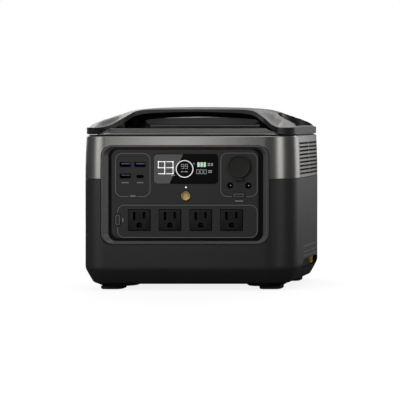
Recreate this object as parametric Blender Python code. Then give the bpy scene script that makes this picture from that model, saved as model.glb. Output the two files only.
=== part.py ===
"""Portable power station: a two-tone housing with a bridge handle, a panel of outlets and its internals.

Metres, +Z up, +X to the right of someone facing the front panel, and the front faces -Y.
The origin is on the ground, midway between the four feet.
"""

import math

import bmesh
import bpy
from mathutils import Vector

MM = 0.001
GAP = 0.3 * MM

# Housing
WIDTH = 280 * MM
DEPTH = 180 * MM
HEIGHT = 239 * MM
HALF_W = WIDTH / 2
HALF_D = DEPTH / 2
CORNER_R = 38 * MM
CORNER_STEPS = 7
WALL = 2.8 * MM
UNDERSIDE_Z = 8 * MM
FLOOR_Z = 11 * MM
INNER_BEND_Z = 22 * MM
BASE_INSET_MM = ((8, 13), (9.2, 10.6), (11.5, 8.7), (14, 7.3), (26, 1.1), (28, 0.35), (30.5, 0))
COLOUR_SPLIT_Z = 145 * MM
UPPER_TOP_Z = 201.4 * MM
TAPER_TOP_Z = 203 * MM
TAPER_INSET = 1.6 * MM
TAPER_POWER = 1.8
UPPER_LEVELS = (170 * MM, 188 * MM)
UPPER_EDGE = 0.8 * MM
LEDGE_TOP_Z = 199.3 * MM
LEDGE_REACH = 3 * MM

# Feet
BOSS_Z = 4.4 * MM
BOSS_TOP = (70 * MM, 127 * MM, 26 * MM, 77.5 * MM)
BOSS_BOTTOM = (73 * MM, 119 * MM, 29 * MM, 71 * MM)
BOSS_R = 20 * MM
FOOT_X = 104 * MM
FOOT_Y = 54 * MM
FOOT_HALF_W = 14.5 * MM
FOOT_HALF_D = 14 * MM
BASE_SCREW_X = 50 * MM
BASE_SCREW_Y = 58 * MM

# Side vents
VENT_COUNT = 9
VENT_PITCH = 5.0 * MM
VENT_HEIGHT = 2.6 * MM
VENT_TOP_Z = 192 * MM
VENT_Y = (-48 * MM, 60 * MM)
VENT_SPANS = 2
VENT_WEB = 1.6 * MM

# Front bezel and panel
PANEL_Z = 124.6 * MM
BEZEL_HALF = (108.8 * MM, 63.9 * MM)
BEZEL_R = 14 * MM
BEZEL_GROOVE = 0.8 * MM
OPENING_HALF = (100.6 * MM, 60.1 * MM)
OPENING_R = 10.4 * MM
PANEL_FACE_Y = -85.2 * MM
PANEL_THICK = 2.5 * MM
PANEL_STEP = 1.2 * MM
PANEL_FIT = 0.5 * MM
RAISED_X = (-96.6 * MM, 94.5 * MM)
RAISED_Z = (68.2 * MM, 183.7 * MM)
RAISED_R = 10 * MM
BEZEL_STEPS = 6

# Display
DISPLAY_Z = 158.35 * MM
DISPLAY_HALF = (42 * MM, 19.5 * MM)
DISPLAY_R = 5 * MM

# Buttons
POWER_XZ = (0 * MM, 123.2 * MM)
POWER_R = 6.0 * MM
POWER_GROOVE = 0.8 * MM
LIGHT_XZ = (0 * MM, 134.4 * MM)
LIGHT_R = 1.0 * MM
AC_BUTTON_XZ = (-88.4 * MM, 92.1 * MM)
AC_BUTTON_HALF = (3.75 * MM, 7.5 * MM)
DC_BUTTON_XZ = (69.2 * MM, 124 * MM)
DC_BUTTON_HALF = (7.75 * MM, 3.1 * MM)
BUTTON_DEPTH = 6.5 * MM

# Low-voltage ports
USB_A_XZ = ((-78.8 * MM, 164 * MM), (-59.6 * MM, 164 * MM), (-78.7 * MM, 149.1 * MM))
USB_A_HALF = (6.9 * MM, 2.9 * MM)
USB_A_WALL = 0.45 * MM
USB_A_DEPTH = 12 * MM
TONGUE_HALF_W = 5.5 * MM
TONGUE_SET_BACK = 1.2 * MM
TONGUE_RISE = (0.3 * MM, 2.0 * MM)
PORT_SET_BACK = 0.2 * MM
USB_C_XZ = (-59.6 * MM, 148.5 * MM)
USB_C_HALF = (4.6 * MM, 1.75 * MM)
USB_C_WALL = 0.35 * MM
CAR_XZ = (69.6 * MM, 161.4 * MM)
CAR_BORE_R = 10.6 * MM
CAR_BARREL_R = 12 * MM
CAR_DEPTH = 42 * MM
COVER_R = 14.8 * MM
HINGE_Z = 144.0 * MM
HINGE_Y = -87.4 * MM
HINGE_PIN_R = 0.5 * MM
HINGE_BORE_R = 0.8 * MM
KNUCKLE_R = 1.3 * MM
KNUCKLE_HALF = 2.9 * MM
LUG_SPAN = (3.4 * MM, 5.2 * MM)
LUG_DROP = 1.7 * MM
PLUG_R = 9.6 * MM
DC_JACK_XZ = ((57.6 * MM, 136.7 * MM), (81.2 * MM, 136.7 * MM))
DC_JACK_R = 4.0 * MM
DC_JACK_BORE_R = 2.9 * MM
DC_JACK_DEPTH = 11 * MM
DC_JACK_BACK = 1 * MM
DC_PIN_R = 1.1 * MM

# Outlets
OUTLET_Z = 91.9 * MM
OUTLET_X = (-60.5 * MM, -20.5 * MM, 19.5 * MM, 59.5 * MM)
OUTLET_HALF = (14 * MM, 13.5 * MM)
OUTLET_PROUD = 0.9 * MM
OUTLET_DEPTH = 22 * MM
OUTLET_FACE = 3 * MM
OUTLET_WALL = 1.6 * MM
OUTLET_EDGE = 0.6 * MM
SLOT_X = 6.35 * MM
SLOT_W = 2.4 * MM
SLOT_TOP = 10.4 * MM
LONG_SLOT = 10.3 * MM
SHORT_SLOT = 8.3 * MM
GROUND_R = 3.2 * MM
GROUND_Z = -6.6 * MM
GROUND_FLOOR = -3.0 * MM
GROUND_STEPS = 10

# Contact rails behind the outlets
CONTACT_SET_BACK = 0.8 * MM
CONTACT_DROP = 4.5 * MM
NEUTRAL_RISE = 8 * MM
LIVE_RISE = -4 * MM
GROUND_RISE = -5 * MM
LIVE_SET_BACK = 2.2 * MM
RAIL_END = 14 * MM
RAIL_HALF_H = 1.5 * MM
RAIL_THICK = 1.2 * MM
RISER_HALF = 1.8 * MM
FINGER_HALF = (1.6 * MM, 0.9 * MM)

# Top cover
DECK_Z = 190.5 * MM
DECK_THICK = 2.5 * MM
TUB_HALF = (124 * MM, 72 * MM)
TUB_R = 26 * MM
TUB_WALL = 2.4 * MM
FLANGE_Z = (199.6 * MM, 202.3 * MM)
RIM_FOOT_Z = 202.6 * MM
FRONT_RIM_Z = 211 * MM
REAR_RIM_Z = 214.5 * MM
RIM_END_X = 118 * MM

# Handle: outlines as (distance from the middle, height or width) pairs in millimetres
HANDLE_SEAT_Z = 202.7 * MM
RIDGE_MM = ((0, 239), (45, 238.3), (80, 236.1), (96, 233), (112, 226), (135, 215.6), (138.4, 213))
EDGE_MM = ((0, 236), (60, 235.7), (76, 234), (92, 225.2), (108, 214.8), (118, 212.2), (138.4, 212))
BAND_MM = ((0, 3.2), (40, 4), (70, 5.2), (98, 7.1), (112, 6.8), (122, 8.4), (138.4, 8.4))
CORE_MM = ((0, 13.4), (80, 14), (101, 10), (108, 12), (115, 22), (138.4, 22))
PLAN_MM = ((0, 45), (76, 45), (92, 49.5), (100, 56), (114, 67), (118, 75), (120.5, 83.2))
CREST_HALF = 18 * MM
RIM_DIP = 1.8 * MM
END_OPENING_X = (101 * MM, 134 * MM)
END_OPENING_HALF = 46 * MM
PILLAR_X = (82 * MM, 99.5 * MM)
PILLAR_HALF = 30 * MM
GRIP_HALF_LENGTH = 77 * MM
GRIP_BOTTOM_Z = 215 * MM
GRIP_HALF_WIDTH = 12.5 * MM

# Right side port bay
BAY_Y = (-30 * MM, 54 * MM)
BAY_Z = (24 * MM, 36 * MM)
BAY_PLATE_X = (131.4 * MM, 133.4 * MM)
SOLAR_Y = 37.5 * MM
SOLAR_Z = 30 * MM
SOLAR_HALF = (8.1 * MM, 4.1 * MM)
SOLAR_R = 1.5 * MM
SOLAR_PROUD = 2.6 * MM
SOLAR_LENGTH = 9 * MM
SOLAR_SOCKET_R = 2.6 * MM
SOLAR_SOCKET_SPREAD = 3.8 * MM
SOLAR_SOCKET_DEPTH = 5 * MM
BAY_R = 3 * MM
BAY_PLATE_LAP = (3 * MM, 1.5 * MM)

# Rear port plate
REAR_PLATE_XZ = (-58 * MM, 152 * MM)
REAR_PLATE_HALF = (34 * MM, 19 * MM)
REAR_FACE_Y = 88 * MM
INLET_XZ = (-68 * MM, 152 * MM)
INLET_HALF = (13.6 * MM, 10 * MM)
INLET_DEPTH = 19 * MM
RESET_XZ = (-38 * MM, 152 * MM)
RESET_R = 4.5 * MM
RESET_PROUD = 1.4 * MM
REAR_PLATE_R = 5 * MM
REAR_PLATE_THICK = 3 * MM
INLET_R = 2.5 * MM
INLET_WALL = 1.6 * MM
INLET_BACK = 2 * MM
INLET_PROUD = 0.6 * MM
INLET_PIN_XZ = ((-7 * MM, -1 * MM), (0 * MM, 3 * MM), (7 * MM, -1 * MM))
INLET_PIN_HALF = (1 * MM, 2.2 * MM)
INLET_PIN_SET_BACK = 4 * MM
CARRIER_LOW = (-9 * MM, -4 * MM)
CARRIER_HIGH = (9 * MM, 6 * MM)
CARRIER_THICK = 1.5 * MM

# Battery
CELL = (27 * MM, 63 * MM, 101 * MM)
CELL_GAP = 0.6 * MM
CELL_COLUMNS = 8
CELL_ROWS = 2
BATTERY_Y = 9 * MM
CELL_Z = 14.5 * MM
CELL_GROOVE = 40 * MM
TRAY_WALL = 2.2 * MM
TRAY_HEIGHT = 30 * MM
TRAY_FLOOR = 2.5 * MM
BATTERY_BOARD = (120 * MM, 30 * MM)

# Electronics
INVERTER_Z = 128.5 * MM
INVERTER_CENTRE = (0, 2 * MM)
INVERTER_SIZE = (200 * MM, 112 * MM)
CONTROL_BOARD_X = (-94 * MM, 52 * MM)
CONTROL_BOARD_Z = (116 * MM, 178 * MM)
CONTROL_BOARD_SET_BACK = 14.5 * MM
TRANSFORMER_CENTRE = (60 * MM, 2 * MM)
TRANSFORMER_SIZE = (40 * MM, 34 * MM, 32 * MM)
CAPACITOR_CENTRE = (-60 * MM, -30 * MM)
CAPACITOR_R = 12 * MM
CAPACITOR_HEIGHT = 34 * MM
BOARD = 1.6 * MM
HEATSINK_HALF = 24 * MM
HEATSINK_HEIGHT = 34 * MM
HEATSINK_FINS = 6
HEATSINK_Y = 24 * MM
HEATSINK_X = (-84 * MM, 20 * MM)
HEATSINK_BASE = 6 * MM
FAN_SIZE = 56 * MM
FAN_THICK = 15 * MM
FAN_X = 118 * MM
FAN_Y = 6 * MM
FAN_Z = 157 * MM
FAN_BLADES = 7
FAN_HUB_R = 10 * MM
FAN_BLADE_HALF = 0.2
FAN_TWIST = 0.7
FAN_TWIST_STEPS = 4
FAN_RIM = 2 * MM
FAN_SPOKES = 3
FAN_SPOKE_HALF = 0.12
FAN_SPOKE_THICK = 2.2 * MM
FAN_BOSS_R = 11 * MM
FAN_TIP_GAP = 3.4 * MM

# Battery leads
LEAD_Y = (26 * MM, 34 * MM)
LEAD_START = (113.5 * MM, 119 * MM)
LEAD_END = (102.5 * MM, 134 * MM)
LEAD_BOW = 5 * MM
LEAD_R = 2.2 * MM
LEAD_STEPS = 8


# ---------------------------------------------------------------- helpers

def material(name, colour, roughness, metallic=0.0):
    """A Principled material with an sRGB colour given as 0-255 values."""
    found = bpy.data.materials.get(name)
    if found:
        return found
    made = bpy.data.materials.new(name)
    made.use_nodes = True
    shader = made.node_tree.nodes["Principled BSDF"]
    linear = [(channel / 255) ** 2.2 for channel in colour]
    shader.inputs["Base Color"].default_value = (*linear, 1.0)
    shader.inputs["Roughness"].default_value = roughness
    shader.inputs["Metallic"].default_value = metallic
    return made


def finish(bm, name, finish_material, smooth_angle=None):
    """Turns a bmesh into a named object with outward faces."""
    bmesh.ops.recalc_face_normals(bm, faces=bm.faces)
    mesh = bpy.data.meshes.new(name)
    bm.to_mesh(mesh)
    bm.free()
    made = bpy.data.objects.new(name, mesh)
    bpy.context.scene.collection.objects.link(made)
    if finish_material:
        mesh.materials.append(finish_material)
    if smooth_angle:
        mesh.shade_smooth()
        mesh.set_sharp_from_angle(angle=math.radians(smooth_angle))
    return made


def set_origin(made, point):
    """Moves an object's origin to a point without moving its shape."""
    offset = Vector(point)
    for vertex in made.data.vertices:
        vertex.co -= offset
    made.location = offset


def rounded_rect(half_w, half_h, radius, steps):
    """Counter-clockwise outline of a rounded rectangle about (0, 0)."""
    points = []
    for quarter, (sx, sy) in enumerate(((1, 1), (-1, 1), (-1, -1), (1, -1))):
        for step in range(steps + 1):
            angle = math.radians(90 * (quarter + step / steps))
            points.append((sx * (half_w - radius) + radius * math.cos(angle),
                           sy * (half_h - radius) + radius * math.sin(angle)))
    return points


def circle(radius, steps):
    return [(radius * math.cos(math.tau * i / steps), radius * math.sin(math.tau * i / steps))
            for i in range(steps)]


def rectangle(half_w, half_h):
    return [(half_w, half_h), (-half_w, half_h), (-half_w, -half_h), (half_w, -half_h)]


def facing_front(outline, centre, y):
    """Places a flat outline in the XZ plane at depth y."""
    return [Vector((centre[0] + u, y, centre[1] + v)) for u, v in outline]


def facing_side(outline, centre, x):
    """Places a flat outline in the YZ plane at width x."""
    return [Vector((x, centre[0] + u, centre[1] + v)) for u, v in outline]


def facing_up(outline, centre, z):
    """Places a flat outline in the XY plane at height z."""
    return [Vector((centre[0] + u, centre[1] + v, z)) for u, v in outline]


def add_loft(bm, rings, cyclic=False):
    """Skins rings of equal length; caps both ends, or joins the last ring to the first."""
    rows = [[bm.verts.new(point) for point in ring] for ring in rings]
    pairs = list(zip(rows, rows[1:]))
    if cyclic:
        pairs.append((rows[-1], rows[0]))
    for lower, upper in pairs:
        for i in range(len(lower)):
            j = (i + 1) % len(lower)
            bm.faces.new((lower[i], lower[j], upper[j], upper[i]))
    if not cyclic:
        bm.faces.new(rows[0])
        bm.faces.new(rows[-1])


def loft(name, rings, finish_material, cyclic=False, smooth_angle=None):
    bm = bmesh.new()
    add_loft(bm, rings, cyclic)
    return finish(bm, name, finish_material, smooth_angle)


def add_box(bm, low, high):
    corners = rectangle(1, 1)
    rings = []
    for z in (low[2], high[2]):
        rings.append([Vector(((high[0] + low[0]) / 2 + u * (high[0] - low[0]) / 2,
                              (high[1] + low[1]) / 2 + v * (high[1] - low[1]) / 2, z)) for u, v in corners])
    add_loft(bm, rings)


def boxes(name, spans, finish_material):
    """One object holding a separate box for each (low corner, high corner) pair."""
    bm = bmesh.new()
    for low, high in spans:
        add_box(bm, low, high)
    return finish(bm, name, finish_material)


def add_turned(bm, profile, centre, steps, axis="Y"):
    """A turned solid: profile is (radius, position along the axis) pairs, closed through the axis."""
    place = {"X": facing_side, "Y": facing_front, "Z": facing_up}[axis]
    add_loft(bm, [place(circle(radius, steps), centre, along) for radius, along in profile])


def boolean(target, tool, operation="DIFFERENCE"):
    """Cuts or joins with a hidden tool object, using the exact solver."""
    tool.hide_render = True
    tool.display_type = "WIRE"
    modifier = target.modifiers.new(operation.title(), "BOOLEAN")
    modifier.operation = operation
    modifier.solver = "EXACT"
    modifier.object = tool


def curve_through(pairs):
    """A smooth function through (distance, value) pairs that never overshoots them."""
    xs = [pair[0] * MM for pair in pairs]
    ys = [pair[1] * MM for pair in pairs]
    slopes = [(ys[i + 1] - ys[i]) / (xs[i + 1] - xs[i]) for i in range(len(xs) - 1)]
    tangents = [0.0] * len(xs)
    tangents[-1] = slopes[-1]
    for i in range(1, len(xs) - 1):
        if slopes[i - 1] * slopes[i] > 0:
            tangents[i] = 2 * slopes[i - 1] * slopes[i] / (slopes[i - 1] + slopes[i])

    def value(distance):
        x = min(max(abs(distance), xs[0]), xs[-1])
        i = max(k for k in range(len(xs) - 1) if xs[k] <= x)
        span = xs[i + 1] - xs[i]
        t = (x - xs[i]) / span
        return ((2 * t ** 3 - 3 * t ** 2 + 1) * ys[i] + (t ** 3 - 2 * t ** 2 + t) * span * tangents[i]
                + (3 * t ** 2 - 2 * t ** 3) * ys[i + 1] + (t ** 3 - t ** 2) * span * tangents[i + 1])

    return value


def smooth_step(low, high, value):
    t = min(max((value - low) / (high - low), 0.0), 1.0)
    return t * t * (3 - 2 * t)


# ---------------------------------------------------------------- materials

def grey_metal_paint():
    return material("satin_grey_paint", (150, 148, 146), 0.38, 0.55)


def charcoal_plastic():
    return material("charcoal_plastic", (52, 52, 53), 0.55)


def dark_plastic():
    return material("dark_plastic", (38, 38, 39), 0.5)


def black_plastic():
    return material("black_plastic", (18, 18, 19), 0.45)


def panel_plastic():
    return material("panel_plastic", (54, 54, 54), 0.6)


def handle_paint():
    return material("handle_paint", (92, 91, 90), 0.42, 0.3)


def soft_rubber():
    return material("soft_rubber", (28, 28, 28), 0.85)


def gold_anodised():
    return material("gold_anodised", (184, 158, 98), 0.35, 0.8)


def bright_steel():
    return material("bright_steel", (190, 190, 188), 0.3, 1.0)


def brass():
    return material("brass", (190, 160, 90), 0.35, 1.0)


def aluminium():
    return material("aluminium", (176, 178, 180), 0.4, 1.0)


def circuit_board():
    return material("circuit_board", (26, 78, 52), 0.5)


def blue_plastic():
    return material("blue_plastic", (52, 84, 170), 0.4)


def yellow_plastic():
    return material("yellow_plastic", (214, 170, 40), 0.45)


def clear_glass():
    return material("clear_glass", (20, 20, 22), 0.05)


def white_plastic():
    return material("white_plastic", (232, 232, 228), 0.4)


def battery_wrap():
    return material("battery_wrap", (60, 110, 150), 0.4)


def red_insulation():
    return material("red_insulation", (170, 32, 28), 0.5)


def black_insulation():
    return material("black_insulation", (22, 22, 22), 0.5)


# ---------------------------------------------------------------- housing

base_inset = curve_through(BASE_INSET_MM)


def body_inset(z):
    """How far the outer wall stands in from the full width at height z."""
    if z < BASE_INSET_MM[-1][0] * MM:
        return base_inset(z)
    if z > COLOUR_SPLIT_Z:
        share = (z - COLOUR_SPLIT_Z) / (TAPER_TOP_Z - COLOUR_SPLIT_Z)
        return TAPER_INSET * share ** TAPER_POWER
    return 0.0


def body_ring(z, inward=0.0, steps=CORNER_STEPS):
    """The housing's outline at height z, moved inward by a wall's thickness."""
    inset = body_inset(z) + inward
    return facing_up(rounded_rect(HALF_W - inset, HALF_D - inset, CORNER_R - inset, steps), (0, 0), z)


def front_opening_cutter():
    """The hole that the bezel sits in, through the front of both shells."""
    half_w = BEZEL_HALF[0] + BEZEL_GROOVE
    half_h = BEZEL_HALF[1] + BEZEL_GROOVE
    outline = rounded_rect(half_w, half_h, BEZEL_R + BEZEL_GROOVE, BEZEL_STEPS)
    ends = (-HALF_D - 4 * MM, -HALF_D + 9 * MM)
    return loft("front_opening_tool", [facing_front(outline, (0, PANEL_Z), y) for y in ends], None)


def side_vent_cutter():
    """Rows of slots through both sides, each row broken by narrow webs."""
    bm = bmesh.new()
    span = (VENT_Y[1] - VENT_Y[0] + VENT_WEB) / VENT_SPANS
    for side in (-1, 1):
        for row in range(VENT_COUNT):
            top = VENT_TOP_Z - row * VENT_PITCH
            for part in range(VENT_SPANS):
                start = VENT_Y[0] + part * span
                low_x, high_x = sorted((side * (HALF_W - 8 * MM), side * (HALF_W + 2 * MM)))
                add_box(bm, (low_x, start, top - VENT_HEIGHT), (high_x, start + span - VENT_WEB, top))
    return finish(bm, "side_vent_tool", None)


def rear_opening_cutter():
    """The hole for the charging ports at the back, which spans both shells."""
    outline = rounded_rect(REAR_PLATE_HALF[0] + GAP, REAR_PLATE_HALF[1] + GAP, REAR_PLATE_R + GAP, 4)
    ends = (HALF_D - 8 * MM, HALF_D + 4 * MM)
    return loft("rear_opening_tool", [facing_front(outline, REAR_PLATE_XZ, y) for y in ends], None)


def base_bosses():
    """Four shallow tapered pads under the base that carry the feet."""
    bm = bmesh.new()
    for sx in (-1, 1):
        for sy in (-1, 1):
            rings = []
            for z, (x0, x1, y0, y1) in ((BOSS_Z, BOSS_BOTTOM), (UNDERSIDE_Z + 1.2 * MM, BOSS_TOP)):
                centre = (sx * (x0 + x1) / 2, sy * (y0 + y1) / 2)
                outline = rounded_rect((x1 - x0) / 2, (y1 - y0) / 2, BOSS_R, 5)
                rings.append(facing_up(outline, centre, z))
            add_loft(bm, rings)
    return finish(bm, "base_boss_tool", None)


def base_screw_positions():
    return [(sx * BASE_SCREW_X, sy * BASE_SCREW_Y) for sx in (-1, 1) for sy in (-1, 1)]


def base_screw_cutter():
    """Countersunk holes through the floor."""
    bm = bmesh.new()
    for centre in base_screw_positions():
        profile = ((3.6 * MM, UNDERSIDE_Z - 2 * MM), (3.6 * MM, UNDERSIDE_Z + 1.5 * MM),
                   (2.0 * MM, UNDERSIDE_Z + 1.5 * MM), (2.0 * MM, FLOOR_Z + 2 * MM))
        add_turned(bm, profile, centre, 12, "Z")
    return finish(bm, "base_screw_tool", None)


def port_bay_cutter():
    """The low slot in the right side that the input connector looks out of."""
    centre = ((BAY_Y[0] + BAY_Y[1]) / 2, (BAY_Z[0] + BAY_Z[1]) / 2)
    outline = rounded_rect((BAY_Y[1] - BAY_Y[0]) / 2, (BAY_Z[1] - BAY_Z[0]) / 2, BAY_R, 4)
    ends = (HALF_W - 9 * MM, HALF_W + 3 * MM)
    return loft("port_bay_tool", [facing_side(outline, centre, x) for x in ends], None)


def make_lower_shell(front_tool, rear_tool):
    outer_z = [level * MM for level, _ in BASE_INSET_MM] + [COLOUR_SPLIT_Z - GAP / 2]
    inner_z = (COLOUR_SPLIT_Z - GAP / 2, BASE_INSET_MM[-1][0] * MM, INNER_BEND_Z, FLOOR_Z)
    rings = [body_ring(z) for z in outer_z] + [body_ring(z, WALL) for z in inner_z]
    shell = loft("lower_shell", rings, charcoal_plastic(), smooth_angle=30)
    boolean(shell, base_bosses(), "UNION")
    boolean(shell, base_screw_cutter())
    boolean(shell, port_bay_cutter())
    boolean(shell, front_tool)
    boolean(shell, rear_tool)
    return shell


def make_upper_shell(front_tool, rear_tool):
    bottom = COLOUR_SPLIT_Z + GAP / 2
    outer = [body_ring(z) for z in (bottom, *UPPER_LEVELS, UPPER_TOP_Z - UPPER_EDGE)]
    edge = [body_ring(UPPER_TOP_Z, UPPER_EDGE)]
    inner = [body_ring(UPPER_TOP_Z, WALL), body_ring(LEDGE_TOP_Z, WALL),
             body_ring(LEDGE_TOP_Z, WALL + LEDGE_REACH), body_ring(LEDGE_TOP_Z - 2 * MM, WALL + LEDGE_REACH),
             body_ring(LEDGE_TOP_Z - 5 * MM, WALL), body_ring(bottom, WALL)]
    shell = loft("upper_shell", outer + edge + inner, grey_metal_paint(), cyclic=True, smooth_angle=30)
    boolean(shell, side_vent_cutter())
    boolean(shell, front_tool)
    boolean(shell, rear_tool)
    return shell


def corner_signs():
    """The four corners, as (name, sign of x, sign of y)."""
    return [(f"{end}_{hand}", sx, sy) for end, sy in (("front", -1), ("rear", 1))
            for hand, sx in (("left", -1), ("right", 1))]


def make_rubber_feet():
    for corner, sx, sy in corner_signs():
        rings = []
        for inset, z in ((1.2 * MM, 0), (0, 1.2 * MM), (0, BOSS_Z - GAP)):
            outline = rounded_rect(FOOT_HALF_W - inset, FOOT_HALF_D - inset, 8 * MM - inset, 4)
            rings.append(facing_up(outline, (sx * FOOT_X, sy * FOOT_Y), z))
        loft(f"foot_{corner}", rings, soft_rubber(), smooth_angle=30)


def make_base_screws():
    for corner, sx, sy in corner_signs():
        bm = bmesh.new()
        profile = ((3.2 * MM, UNDERSIDE_Z + 0.4 * MM), (3.2 * MM, UNDERSIDE_Z + 1.2 * MM),
                   (1.6 * MM, UNDERSIDE_Z + 1.2 * MM), (1.6 * MM, FLOOR_Z + 1 * MM))
        add_turned(bm, profile, (sx * BASE_SCREW_X, sy * BASE_SCREW_Y), 12, "Z")
        finish(bm, f"base_screw_{corner}", bright_steel(), 30)


# ---------------------------------------------------------------- top cover and handle

ridge_height = curve_through(RIDGE_MM)
edge_height = curve_through(EDGE_MM)
band_depth = curve_through(BAND_MM)
core_depth = curve_through(CORE_MM)
plan_inner = curve_through(PLAN_MM)


def corner_half_depth(x, inward):
    """Half the housing's depth at distance x from its middle, moved inward."""
    past = abs(x) - (HALF_W - CORNER_R)
    if past <= 0:
        return HALF_D - inward
    radius = CORNER_R - inward
    return HALF_D - CORNER_R + math.sqrt(max(radius * radius - past * past, 0.0))


def plan_half_depth(x):
    """Half the handle's depth at distance x from its middle: straps inside, housing corners outside."""
    if abs(x) < PLAN_MM[-1][0] * MM:
        return plan_inner(x)
    return corner_half_depth(x, TAPER_INSET)


def end_opening_half(x):
    """Half the depth of the hole between two legs at distance x from the middle."""
    near, far = END_OPENING_X
    if not near < abs(x) <= far:
        return 0.0
    return END_OPENING_HALF * math.sqrt(1 - ((far - abs(x)) / (far - near)) ** 2)


def handle_top(x, y):
    """Height of the handle's upper surface: a crest that cants down to the strap's outer edge."""
    half = plan_half_depth(x)
    crest = max(end_opening_half(x), CREST_HALF)
    share = smooth_step(0, 1, (abs(y) - crest) / max(half - crest, MM)) if abs(y) > crest else 0.0
    height = ridge_height(x) + (edge_height(x) - ridge_height(x)) * share
    dip = smooth_step(128 * MM, 134 * MM, abs(x)) * (1 - smooth_step(30 * MM, 50 * MM, abs(y)))
    return height - RIM_DIP * dip


def handle_bottom(x, y):
    """Height of the handle's lower surface, which never goes below its seat."""
    half = plan_half_depth(x)
    share = min(abs(y) / max(half, MM), 1.0)
    depth = core_depth(x) + (band_depth(x) - core_depth(x)) * smooth_step(0.25, 1, share)
    return max(handle_top(x, y) - depth, HANDLE_SEAT_Z)


def handle_section(x, steps):
    """One slice across the handle: over the top from front to back, then back underneath."""
    half = plan_half_depth(x)
    ys = [half * math.sin(math.radians(90 * (2 * i / steps - 1))) for i in range(steps + 1)]
    top = [Vector((x, y, handle_top(x, y))) for y in ys]
    bottom = [Vector((x, y, handle_bottom(x, y))) for y in reversed(ys)]
    return top + bottom


def handle_stations():
    """Distances across the handle, closer together where its outline turns."""
    half = [0, 40, 66, 78, 85, 91, 97, 103, 108, 112, 116, 118.5, 120.8, 125, 130, 134.5, 137.2]
    right = [value * MM for value in half]
    return [-x for x in reversed(right[1:])] + right


def end_opening_cutter():
    """The two upright holes between the legs."""
    bm = bmesh.new()
    near, far = END_OPENING_X
    for side in (-1, 1):
        steps = 10
        arc = []
        for i in range(steps + 1):
            angle = math.radians(-90 + 180 * i / steps)
            arc.append((side * (far - (far - near) * math.cos(angle)), END_OPENING_HALF * math.sin(angle)))
        add_loft(bm, [facing_up(arc, (0, 0), z) for z in (HANDLE_SEAT_Z - 6 * MM, HEIGHT)])
    return finish(bm, "end_opening_tool", None)


def handle_pillars():
    """The two inner walls that carry the bridge down to the deck."""
    bm = bmesh.new()
    for side in (-1, 1):
        rings = []
        for z, spread in ((DECK_Z + GAP, 0.0), (224 * MM, 2 * MM)):
            x0, x1 = PILLAR_X[0] - spread, PILLAR_X[1]
            outline = rounded_rect((x1 - x0) / 2, PILLAR_HALF, 6 * MM, 4)
            rings.append(facing_up(outline, (side * (x0 + x1) / 2, 0), z))
        add_loft(bm, rings)
    return finish(bm, "handle_pillar_tool", None)


def make_carry_handle():
    rings = [handle_section(x, 10) for x in handle_stations()]
    handle = loft("carry_handle", rings, handle_paint(), smooth_angle=30)
    boolean(handle, end_opening_cutter())
    boolean(handle, handle_pillars(), "UNION")
    return handle


def make_grip_pad():
    """The soft pad under the bridge, held between the two inner walls."""
    stations = [(-1, 0.0), (-0.97, 0.45), (-0.93, 1.0), (-0.6, 1.0), (-0.3, 1.0), (0, 1.0),
                (0.3, 1.0), (0.6, 1.0), (0.93, 1.0), (0.97, 0.45), (1, 0.0)]
    rings = []
    for share, fullness in stations:
        x = share * GRIP_HALF_LENGTH
        top = min(handle_bottom(x, 0), handle_bottom(x, GRIP_HALF_WIDTH)) - GAP
        middle = top - 2.5 * MM
        high = middle + (top - middle) * fullness
        low = middle - 0.5 * MM - (middle - 0.5 * MM - GRIP_BOTTOM_Z) * max(fullness, 0.1)
        half = GRIP_HALF_WIDTH
        rings.append([Vector((x, y, z)) for y, z in (
            (-half, high), (-half, (high + low) / 2), (-half + 1 * MM, low + 1.5 * MM), (-half + 3.5 * MM, low),
            (half - 3.5 * MM, low), (half - 1 * MM, low + 1.5 * MM), (half, (high + low) / 2), (half, high))])
    loft("grip_pad", rings, soft_rubber(), smooth_angle=40)


def rim_bar(name, side, peak_z):
    """The raised rim along the front or back, whose crest falls away under the handle's straps."""
    inward = TAPER_INSET + 0.3 * MM
    section = ((0, 0), (0, 0.8), (4.1, 1.6), (8.6, 3.8), (11.3, 6.6), (12.3, 7.5), (14.1, 7.5), (15.6, 5.8),
               (15.9, -2), (4.0, -2), (4.0, 0))
    crest = max(point[1] for point in section)
    stations = [0, 40, 80, 92, 98, 103, 108, 112, 115.5, RIM_END_X / MM]
    stations = [-value for value in reversed(stations[1:])] + stations
    rings = []
    for value in stations:
        x = value * MM
        limit = handle_bottom(x, plan_half_depth(x)) - 0.4 * MM
        room = max(min(peak_z, limit) - RIM_FOOT_Z, 0.4 * MM)
        outer = corner_half_depth(x, inward)
        ring = []
        for back, up in section:
            z = RIM_FOOT_Z + (up * room / crest if up > 0 else up * MM)
            ring.append(Vector((x, side * (outer - back * MM), z)))
        rings.append(ring)
    return loft(name, rings, None)


def make_top_cover():
    wall = TUB_WALL
    outer_w, outer_d = TUB_HALF[0] + wall, TUB_HALF[1] + wall
    low = DECK_Z - DECK_THICK
    rings = [facing_up(rounded_rect(outer_w, outer_d, TUB_R + wall, 6), (0, 0), z) for z in (low, FLANGE_Z[0])]
    rings += [facing_up(rounded_rect(HALF_W - 5 * MM, HALF_D - 5 * MM, CORNER_R - 5 * MM, 6), (0, 0), z)
              for z in FLANGE_Z]
    rings += [facing_up(rounded_rect(*TUB_HALF, TUB_R, 6), (0, 0), z) for z in (FLANGE_Z[1], DECK_Z)]
    cover = loft("top_cover", rings, dark_plastic(), smooth_angle=30)
    boolean(cover, rim_bar("front_rim_tool", -1, FRONT_RIM_Z), "UNION")
    boolean(cover, rim_bar("rear_rim_tool", 1, REAR_RIM_Z), "UNION")
    return cover


# ---------------------------------------------------------------- front panel

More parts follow.
